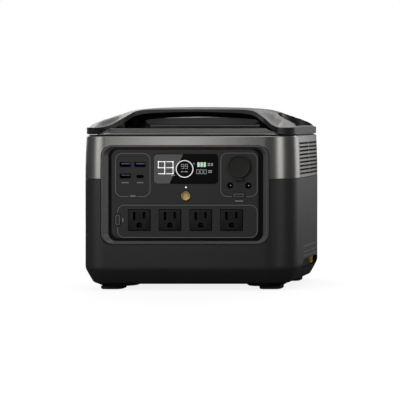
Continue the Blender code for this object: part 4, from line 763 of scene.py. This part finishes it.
def make_panel():
    """The raised plate that carries every port, standing on a ledge inside the bezel that is painted black
    as painted shade, as are the walls of its openings.
    """
    ledge = grown_rect(OPENING_HALF, OPENING_R, -PANEL_FIT, CORNER_STEPS)
    raised = rounded_rect(*RAISED_HALF, RAISED_R, CORNER_STEPS)
    step_y = PANEL_FACE_Y + PANEL_STEP
    rings = [facing_front(raised, RAISED_XZ, y) for y in (PANEL_FACE_Y, step_y)]
    rings += [facing_front(ledge, (0, PANEL_Z), y) for y in (step_y, PANEL_BACK_Y)]
    panel = loft("front_panel_fine", rings, "panel")
    ends = (PANEL_FACE_Y - CUT_PAST, PANEL_BACK_Y + CUT_PAST)
    combine(panel, prisms("panel_opening_tool", facing_front, panel_openings(), ends))
    combine(panel, hinge_lug_tool(), "UNION")
    combine(panel, hinge_bar(HINGE_BORE_R, LUG_OUTER + MM))
    # Everything behind the plate's face is painted black: painted shade in the groove round the plate and in
    # the holes.
    paint_faces(panel, "black", lambda face: face.center.y > PANEL_FACE_Y + 0.2 * MM)
    soften(panel, 0.2 * MM, angle=40)
    ride_as(panel, "front_panel")


def outlet_hole_tool(x):
    """Two blade slots and a round-topped ground hole."""
    angles = [math.pi * i / 24 for i in range(25)]
    ground = [(GROUND_R * math.cos(angle), GROUND_R * math.sin(angle)) for angle in angles]
    ground += [(-GROUND_R, GROUND_FLOOR), (GROUND_R, GROUND_FLOOR)]
    shapes = [(ground, (x, OUTLET_Z + GROUND_Z))]
    for side, length in SLOT_LENGTHS:
        shapes.append((rounded_rect(SLOT_HALF_W, length / 2, SLOT_R, 4),
                       (x + side * SLOT_X, OUTLET_Z + SLOT_TOP - length / 2)))
    return prisms("outlet_hole_tool", facing_front, shapes, (OUTLET_FACE_Y - MM, OUTLET_FACE_Y + SLOT_DEPTH))


def make_outlet(index, x):
    rings = []
    for inset, radius, depth in OUTLET_PROFILE:
        outline = rounded_rect(*padded(OUTLET_HALF, -inset * MM), radius * MM, 5)
        rings.append(facing_front(outline, (x, OUTLET_Z), OUTLET_FACE_Y + depth * MM))
    block = loft(f"outlet_fine_{index}", rings, "outlet")
    combine(block, outlet_hole_tool(x))
    # The slot walls and the block's sides behind its face are painted black: painted shade in the slots and
    # round the block.
    paint_faces(block, "black", lambda face: face.center.y > OUTLET_FACE_Y + 0.3 * MM)
    soften(block, 0.15 * MM, angle=40)
    ride_as(block, f"ac_outlet_{index}")


def turned(name, profile, face, centre, steps, material):
    """A solid turned about the front-to-back line through centre, from radii and depths behind its face."""
    return loft(name, [facing_front(circle(radius * MM, steps), centre, face + depth * MM)
                       for radius, depth in profile], material)


# Radius, or inset from the button's edge, and depth behind the face, in mm.
POWER_PROFILE = ((2.0, 0.42), (3.4, 0.36), (4.5, 0.2), (5.0, 0.06), (5.3, 0.0), (5.6, 0.02), (5.85, 0.14),
                 (6.0, 0.4), (6.0, 6.5))
POWER_PROUD, PILL_PROUD, PILL_ROUND = 0.7 * MM, 0.5 * MM, 0.85
COVER_DEPTH, ARM_FRONT, ARM_BACK, ARM_REACH = 2.4, 0.4 * MM, 0.1 * MM, 2.5 * MM
COVER_PROFILE = ((8.0, 0.75), (11.6, 0.7), (12.9, 0.55), (13.2, 0.2), (13.5, 0.02), (13.9, 0), (14.3, 0.08),
                 (14.65, 0.3), (14.8, 0.7), (14.8, COVER_DEPTH), (9.6, COVER_DEPTH), (9.2, COVER_DEPTH + 5))
PILL_PROFILE = ((1.45, 0.0), (0.95, 0.0), (0.65, 0.06), (0.42, 0.2), (0.3, 0.5), (0.3, 6.5))


def make_power_button():
    """The round gold cap with its dished face."""
    cap = turned("power_button_fine", POWER_PROFILE, PANEL_FACE_Y - POWER_PROUD, POWER_XZ, 72, "gold")
    soften(cap, 0.05 * MM, angle=50)
    ride_as(cap, "power_button", body="power_button")


def make_pill_button(name, half, centre):
    """A long push button with a thin pale line just inside its edge."""
    face = PANEL_FACE_Y - PILL_PROUD
    rings = []
    for inset, depth in PILL_PROFILE:
        radius = min(half) * PILL_ROUND - inset * MM
        outline = rounded_rect(*padded(half, -inset * MM), radius, 12)
        rings.append(facing_front(outline, centre, face + depth * MM))
    cap = loft(f"{name}_fine", rings, "panel")
    paint_faces(cap, "print_light",
                lambda part: len(part.vertices) == 4 and part.center.y < face + 0.01 * MM)
    cap.data.shade_smooth()
    cap.data.set_sharp_from_angle(angle=math.radians(50))
    ride_as(cap, name, body=name)


def make_socket_cover():
    """A shallow dished disc with a raised edge, a plug behind and a hinge arm below."""
    seat = PANEL_FACE_Y - FIT
    face = seat - COVER_DEPTH * MM
    cover = turned("socket_cover_fine", COVER_PROFILE, face, CAR_XZ, 96, "cover_rubber")
    bm = bmesh.new()
    add_box(bm, (CAR_XZ[0] - KNUCKLE_HALF, face + ARM_FRONT, HINGE_Z),
            (CAR_XZ[0] + KNUCKLE_HALF, seat - ARM_BACK, CAR_XZ[1] - COVER_R + ARM_REACH))
    combine(cover, finish_mesh(bm, "cover_arm_tool"), "UNION")
    combine(cover, hinge_bar(KNUCKLE_R, KNUCKLE_HALF), "UNION")
    combine(cover, hinge_bar(HINGE_BORE_R, KNUCKLE_HALF + MM))
    soften(cover, 0.12 * MM, angle=45)
    ride_as(cover, "car_socket_cover", body="socket_cover")


# ---- printed marks and the display

PRINT_DEPTH = 0.04 * MM
PRINT_Y = PANEL_FACE_Y - PRINT_DEPTH
LENS_Y = PANEL_FACE_Y - 0.16 * MM
FIGURE_Y = LENS_Y - 0.05 * MM
SCREEN_MARGIN, SLANT_X = 0.5 * MM, (-3.6 * MM, -21.2 * MM)
LINE_HALF = 0.38 * MM


def at(x, z):
    return (x * MM, z * MM)


def add_plate(bm, outline, centre, y):
    """A thin printed patch standing just proud of the face it is printed on."""
    add_prism(bm, facing_front, outline, centre, (y - PRINT_DEPTH, y))


def add_stroke(bm, points, half_width, y):
    """A printed line through the points, in the plane of the face."""
    left, right = [], []
    for i, (x, z) in enumerate(points):
        before = points[max(i - 1, 0)]
        after = points[min(i + 1, len(points) - 1)]
        along = (after[0] - before[0], after[1] - before[1])
        length = math.hypot(*along)
        side = (-along[1] / length * half_width, along[0] / length * half_width)
        left.append((x + side[0], z + side[1]))
        right.append((x - side[0], z - side[1]))
    rows = [[bm.verts.new((x, level, z)) for x, z in edge]
            for edge in (left, right) for level in (y - PRINT_DEPTH, y)]
    near_left, far_left, near_right, far_right = rows
    for i in range(len(points) - 1):
        for a, b in ((near_left, near_right), (near_right, far_right), (far_right, far_left),
                     (far_left, near_left)):
            bm.faces.new((a[i], a[i + 1], b[i + 1], b[i]))
    for i in (0, -1):
        bm.faces.new((near_left[i], near_right[i], far_right[i], far_left[i]))


def box_path(low, high, radius, gap_side, gap):
    """The points of a round-cornered frame that starts and ends at a gap in one side."""
    centre = ((low[0] + high[0]) / 2, (low[1] + high[1]) / 2)
    outline = rounded_rect((high[0] - low[0]) / 2, (high[1] - low[1]) / 2, radius, 8)
    points = [(centre[0] + u, centre[1] + v) for u, v in outline]
    first = (3 if gap_side == "bottom" else 2) * len(points) // 4
    if gap_side == "bottom":
        ends = ((gap[1], low[1]), (gap[0], low[1]))
    else:
        ends = ((low[0], gap[0]), (low[0], gap[1]))
    return [ends[0], *points[first:], *points[:first], ends[1]]


# Each printed frame round a group of ports: low corner, high corner, side with the gap, and the gap, in mm.
PORT_FRAMES_MM = (((-91.3, 122.5), (-46.6, 178.6), "bottom", (-74.5, -63.5)),
                  ((45.5, 122.5), (92.8, 179.0), "bottom", (59.8, 78.6)),
                  ((-88.6, 69.3), (92.8, 111.2), "left", (82.4, 101.8)))
PORT_FRAME_R = 8.5 * MM


def frame_outlines():
    """The printed frames that group the ports: USB, car and DC output, and AC output."""
    bm = bmesh.new()
    for low, high, side, gap in PORT_FRAMES_MM:
        add_stroke(bm, box_path(at(*low), at(*high), PORT_FRAME_R, side, at(*gap)), LINE_HALF, PRINT_Y)
    ride_as(finish_mesh(bm, "port_frame_lines", "print_grey"))


# Each dash where a small printed caption sits: place, half width and half height, in mm.
DASHES_MM = ((-69.0, 123.1, 3.6, 0.9), (-78.7, 140.6, 4.6, 0.75), (-59.4, 140.6, 4.2, 0.75),
             (69.2, 116.6, 5.2, 0.8), (-81.9, 92.1, 0.8, 2.4))


def small_marks():
    shapes = [(rectangle(*at(half_w, half_h)), at(x, z)) for x, z, half_w, half_h in DASHES_MM]
    ride_as(prisms("caption_dashes", facing_front, shapes, (PRINT_Y - PRINT_DEPTH, PRINT_Y), "print_light"))


SIDE_RULES = ((53, -28, 44), (45.5, -28, 10), (45.5, 18, 50), (40, -28, 50))
RULE_HALF, RULE_INSET, GROOVE_DEPTH, GROOVE_SLACK = 0.45 * MM, (0.04 * MM, 0.5 * MM), 0.6 * MM, 0.02 * MM


def side_rule_boxes(name, near, far, grow, material=None):
    """Thin horizontal bars on the right wall, between two depths below its surface."""
    bm = bmesh.new()
    for z, y0, y1 in SIDE_RULES:
        add_box(bm, (HALF_W - far, y0 * MM - grow, z * MM - RULE_HALF - grow),
                (HALF_W - near, y1 * MM + grow, z * MM + RULE_HALF + grow))
    return finish_mesh(bm, name, material)


def side_marks():
    """Plain light rules let into the right wall."""
    ride_as(side_rule_boxes("side_rules", *RULE_INSET, 0, "print_grey"))


SEGMENTS = {"a": ((0, 2), (1, 2)), "b": ((1, 2), (1, 1)), "c": ((1, 1), (1, 0)), "d": ((0, 0), (1, 0)),
            "e": ((0, 1), (0, 0)), "f": ((0, 2), (0, 1)), "g": ((0, 1), (1, 1))}
DIGITS = {"0": "abcdef", "3": "abcdg", "9": "abcdfg"}
# How far a segment reaches past its end, and how round its corners are, as shares of the stroke.
SEGMENT_REACH, SEGMENT_ROUND = 0.42, 0.3


def add_digit(bm, digit, low, size, stroke, y):
    """A seven-segment figure whose lower left corner is low."""
    width, height = size[0] - stroke, size[1] - stroke
    for letter in DIGITS[digit]:
        (u0, v0), (u1, v1) = SEGMENTS[letter]
        centre = (low[0] + (stroke + (u0 + u1) * width) / 2, low[1] + (stroke + (v0 + v1) * height / 2) / 2)
        reach = (0.5, SEGMENT_REACH) if u0 == u1 else (SEGMENT_REACH, 0.5)
        half_w = abs(u1 - u0) * width / 2 + stroke * reach[0]
        half_h = abs(v1 - v0) * height / 4 + stroke * reach[1]
        add_plate(bm, rounded_rect(half_w, half_h, stroke * SEGMENT_ROUND, 4), centre, y)


def display_backing():
    """The pale part of the screen, left of the slanted line."""
    half_h = DISPLAY_HALF[1] - SCREEN_MARGIN
    outline = grown_rect(DISPLAY_HALF, DISPLAY_R, -SCREEN_MARGIN, 12)
    quarter = len(outline) // 4
    left = outline[quarter:3 * quarter]
    shape = [(SLANT_X[0], half_h)] + left + [(SLANT_X[1], -half_h)]
    ends = (LENS_Y - PRINT_DEPTH, LENS_Y)
    ride_as(prisms("screen_pale_part", facing_front, [(shape, (0, DISPLAY_Z))], ends, "glass_grey"))


# Figures on the screen: lower left corners and digits, then size and stroke, in mm.
CHARGE_DIGITS, CHARGE_SIZE, CHARGE_STROKE = (((-36.2, 151.6), "9"), ((-25.4, 151.6), "3")), (9.4, 16.8), 1.15
ZERO_DIGITS, ZERO_SIZE = (((13.8, 151.8), "0"), ((18.5, 151.8), "0"), ((23.2, 151.8), "0")), (4.0, 5.8)
RING_DIGITS, RING_SIZE = (((-6.0, 158.6), "9"), ((-1.2, 158.6), "9")), (3.8, 6.0)
SMALL_STROKE = 0.6
RING_CENTRE, RING_RADII, RING_STEPS = (-1.6, 158.4), (11.4, 10.4), 72
LEVEL_BAR_X, LEVEL_BAR_Z, LEVEL_BAR_HALF = (16.6, 20.6, 24.6), 164, (1.5, 3.0)
LEVEL_BAR_R, PATCH_R = 0.5 * MM, 0.35 * MM
# Small patches on the screen: place, half width and half height, in mm.
PATCHES = ((30.3, 165.2, 1.7, 0.7), (30.3, 163.0, 1.7, 0.7), (34.2, 164.1, 0.9, 1.8),
           (10.6, 165.2, 0.5, 1.2), (31.6, 156.0, 2.4, 0.6), (31.6, 154.0, 2.4, 0.6),
           (-4.6, 154.8, 1.6, 0.6), (0.4, 154.8, 2.2, 0.6), (-16.6, 150.0, 2.6, 0.4))


def add_digits(bm, digits, size, stroke):
    for low, digit in digits:
        add_digit(bm, digit, at(*low), at(*size), stroke * MM, FIGURE_Y)


def display_figures():
    """The charge figures on the left and the ring gauge in the middle."""
    bm = bmesh.new()
    add_digits(bm, CHARGE_DIGITS, CHARGE_SIZE, CHARGE_STROKE)
    outer, inner = [facing_front(circle(radius * MM, RING_STEPS), at(*RING_CENTRE), FIGURE_Y)
                    for radius in RING_RADII]
    back = [[point + Vector((0, PRINT_DEPTH, 0)) for point in ring] for ring in (inner, outer)]
    add_loft(bm, [outer, inner, *back], cyclic=True)
    ride_as(finish_mesh(bm, "screen_figures", "segment"))


def display_bars():
    """The level bars and the small figures on the right of the screen."""
    bm = bmesh.new()
    for x in LEVEL_BAR_X:
        add_plate(bm, rounded_rect(*at(*LEVEL_BAR_HALF), LEVEL_BAR_R, 4), at(x, LEVEL_BAR_Z), FIGURE_Y)
    ride_as(finish_mesh(bm, "screen_level_bars", "bar_green"))
    bm = bmesh.new()
    add_digits(bm, ZERO_DIGITS, ZERO_SIZE, SMALL_STROKE)
    add_digits(bm, RING_DIGITS, RING_SIZE, SMALL_STROKE)
    for x, z, half_w, half_h in PATCHES:
        add_plate(bm, rounded_rect(*at(half_w, half_h), PATCH_R, 4), at(x, z), FIGURE_Y)
    ride_as(finish_mesh(bm, "screen_small_figures", "segment_dim"))


# ---- the frame's own small parts

# The first entry that a node's name starts with gives its material.
NODE_MATERIALS = {
    "foot_": "rubber", "base_screw_": "steel", "battery_cells": "wrap", "battery_tray": "black",
    "battery_management_board": "board", "battery_cable_positive": "red_wire",
    "battery_cable_negative": "black", "capacitor": "wrap", "car_socket": "port_steel",
    "cover_hinge_pin": "steel", "control_board": "board", "dc_jack_pin_": "pin_steel",
    "dc_jack_": "black", "display_lens": "glass", "display_module": "black", "fan_frame": "black",
    "fan_rotor": "black", "ground_rail": "brass", "live_rail": "brass", "neutral_rail": "brass",
    "heatsink": "aluminium", "inverter_board": "board", "transformer": "yellow",
    "mains_inlet_pins": "steel", "mains_inlet": "black", "rear_port_plate": "panel",
    "reset_button": "black", "side_port_plate": "black", "solar_input": "yellow",
    "status_light_pipe": "lamp", "usb_a_port_": "port_steel", "usb_a_tongue_3": "tongue_dark",
    "usb_a_tongue_": "blue", "usb_c_port": "port_steel",
}
NODE_EDGE = 0.12 * MM
WELD = 0.002 * MM


def dress_nodes():
    """Every frame solid that stays on show gets its material and a slightly rounded edge."""
    for name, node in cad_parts.items():
        key = next((prefix for prefix in NODE_MATERIALS if name.startswith(prefix)), None)
        if key is None:
            continue
        node.data.materials.clear()
        node.data.materials.append(MATERIALS[NODE_MATERIALS[key]])
        weld = node.modifiers.new("weld", "WELD")
        weld.merge_threshold = WELD
        soften(node, NODE_EDGE, angle=40)
        flatten = node.modifiers.new("flat_faces", "WEIGHTED_NORMAL")
        flatten.keep_sharp = True


# ---- studio

SUBJECT = Vector((0, 0, 0.12))
CAMERA_AT = Vector((0.6556, -2.290, 0.235))
LENS_MM, SENSOR_MM = 152.6, 36
SHIFT_X, SHIFT_Y = -1.225, -0.225


def shift_driver(data, path, shift, camera):
    """The lens shift holds while the camera is at its own place, and drops to zero anywhere else."""
    driver = data.driver_add(path).driver
    driver.type = "SCRIPTED"
    for name, channel in (("x", "LOC_X"), ("y", "LOC_Y")):
        variable = driver.variables.new()
        variable.name = name
        variable.type = "TRANSFORMS"
        variable.targets[0].id = camera
        variable.targets[0].transform_type = channel
    driver.expression = f"{shift} if abs(x - {CAMERA_AT.x}) + abs(y - {CAMERA_AT.y}) < 0.01 else 0"


def place_object(name, data, place, direction):
    """Puts a camera or a lamp in the scene, looking along a direction."""
    made = bpy.data.objects.new(name, data)
    made.location = place
    made.rotation_mode = "QUATERNION"
    made.rotation_quaternion = direction.to_track_quat("-Z", "Y")
    bpy.context.scene.collection.objects.link(made)
    return made


def make_camera():
    data = bpy.data.cameras.new("camera")
    data.lens = LENS_MM
    data.sensor_width = SENSOR_MM
    camera = place_object("camera", data, CAMERA_AT, Vector((0, 1, 0)))
    bpy.context.scene.camera = camera
    shift_driver(data, "shift_x", SHIFT_X, camera)
    shift_driver(data, "shift_y", SHIFT_Y, camera)


FLOOR_NEAR, FLOOR_FAR, FLOOR_BLEND = 0.86, 1.0, (0.3, 1.2)
FLOOR_PAINT, OBJECT_SEES_FLOOR = 0.25, 0.06
FLOOR_HALF, FLOOR_THICK = 12, 0.02
BACKDROP, ROOM_FILL = 1.0, 0.07

# Each lamp: (name, place, (width, height), watts); every one is aimed at the middle of the object.
LAMPS = (
    ("front_left_strip", (-0.19, -0.66, 0.27), (0.16, 0.50), 0.46),
    ("left_panel", (-0.95, -0.74, 0.42), (0.50, 0.85), 2.7),
    ("right_strip", (0.95, -0.74, 0.34), (0.40, 0.70), 2.2),
    ("right_rear_panel", (0.80, 0.95, 0.45), (0.80, 0.85), 3.6),
    ("rear_overhead", (-0.10, 0.95, 1.05), (1.60, 0.70), 6.0),
    ("overhead", (0.0, -0.30, 1.60), (1.20, 1.00), 7.0),
    ("left_rear_panel", (-0.90, 1.10, 0.60), (0.80, 0.85), 4.0),
)


def camera_only_mix(nodes, links, seen, unseen, output):
    """Rays straight from the camera get one shader and all the others get another."""
    path = add_node(nodes, "LightPath")
    mix = add_node(nodes, "MixShader")
    join(links, ((path, "Is Camera Ray", mix, 0), (unseen, 0, mix, 1), (seen, 0, mix, 2),
                 (mix, 0, output, "Surface")))


def grey(value):
    return (value, value, value, 1)


def make_floor():
    """A pale sweep that keeps a soft contact shadow but throws little light up under the object; its glow
    dims towards the object as painted shade.
    """
    bm = bmesh.new()
    add_box(bm, (-FLOOR_HALF, -FLOOR_HALF, -FLOOR_THICK), (FLOOR_HALF, FLOOR_HALF, 0))
    floor = finish_mesh(bm, "floor")
    paint = bpy.data.materials.new("floor_paint")
    paint.use_nodes = True
    nodes, links = paint.node_tree.nodes, paint.node_tree.links
    nodes.remove(nodes["Principled BSDF"])
    place = add_node(nodes, "TexCoord")
    away = add_node(nodes, "VectorMath", operation="LENGTH")
    # The glow is dimmer near the object: painted shade round its foot.
    blend = add_node(nodes, "MapRange", {"From Min": FLOOR_BLEND[0], "From Max": FLOOR_BLEND[1],
                                         "To Min": FLOOR_NEAR, "To Max": FLOOR_FAR})
    glow = add_node(nodes, "Emission")
    lit = add_node(nodes, "BsdfDiffuse", {"Color": grey(FLOOR_PAINT)})
    both = add_node(nodes, "AddShader")
    dim = add_node(nodes, "BsdfDiffuse", {"Color": grey(OBJECT_SEES_FLOOR)})
    join(links, ((place, "Object", away, 0), (away, "Value", blend, "Value"),
                 (blend, "Result", glow, "Strength"), (glow, 0, both, 0), (lit, 0, both, 1)))
    camera_only_mix(nodes, links, both, dim, nodes["Material Output"])
    floor.data.materials.append(paint)


def make_world():
    """A white backdrop for the camera and a dim room for everything else."""
    world = bpy.data.worlds.new("studio")
    world.use_nodes = True
    nodes = world.node_tree.nodes
    room = nodes["Background"]
    room.inputs["Color"].default_value = grey(1)
    room.inputs["Strength"].default_value = ROOM_FILL
    backdrop = add_node(nodes, "Background", {"Color": grey(1), "Strength": BACKDROP})
    camera_only_mix(nodes, world.node_tree.links, backdrop, room, nodes["World Output"])
    bpy.context.scene.world = world


def area_light(name, place, size, watts):
    data = bpy.data.lights.new(name, "AREA")
    data.shape = "RECTANGLE"
    data.size, data.size_y = size
    data.energy = watts
    lamp = place_object(name, data, place, SUBJECT - Vector(place))
    lamp.visible_camera = False


def make_studio():
    make_floor()
    make_world()
    for lamp in LAMPS:
        area_light(*lamp)
    make_camera()
    bpy.context.scene.view_settings.view_transform = "Standard"


# ---- assembly

def main():
    for make in (make_lower_shell, make_upper_shell, make_top_cover, make_handle, make_grip, make_bezel,
                 make_panel):
        make()
    for index, x in enumerate(OUTLET_X, 1):
        make_outlet(index, x)
    make_power_button()
    make_pill_button("ac_button", AC_BUTTON_HALF, AC_BUTTON_XZ)
    make_pill_button("dc_button", DC_BUTTON_HALF, DC_BUTTON_XZ)
    for make in (make_socket_cover, frame_outlines, small_marks, side_marks, display_backing,
                 display_figures, display_bars, dress_nodes, make_studio):
        make()


main()
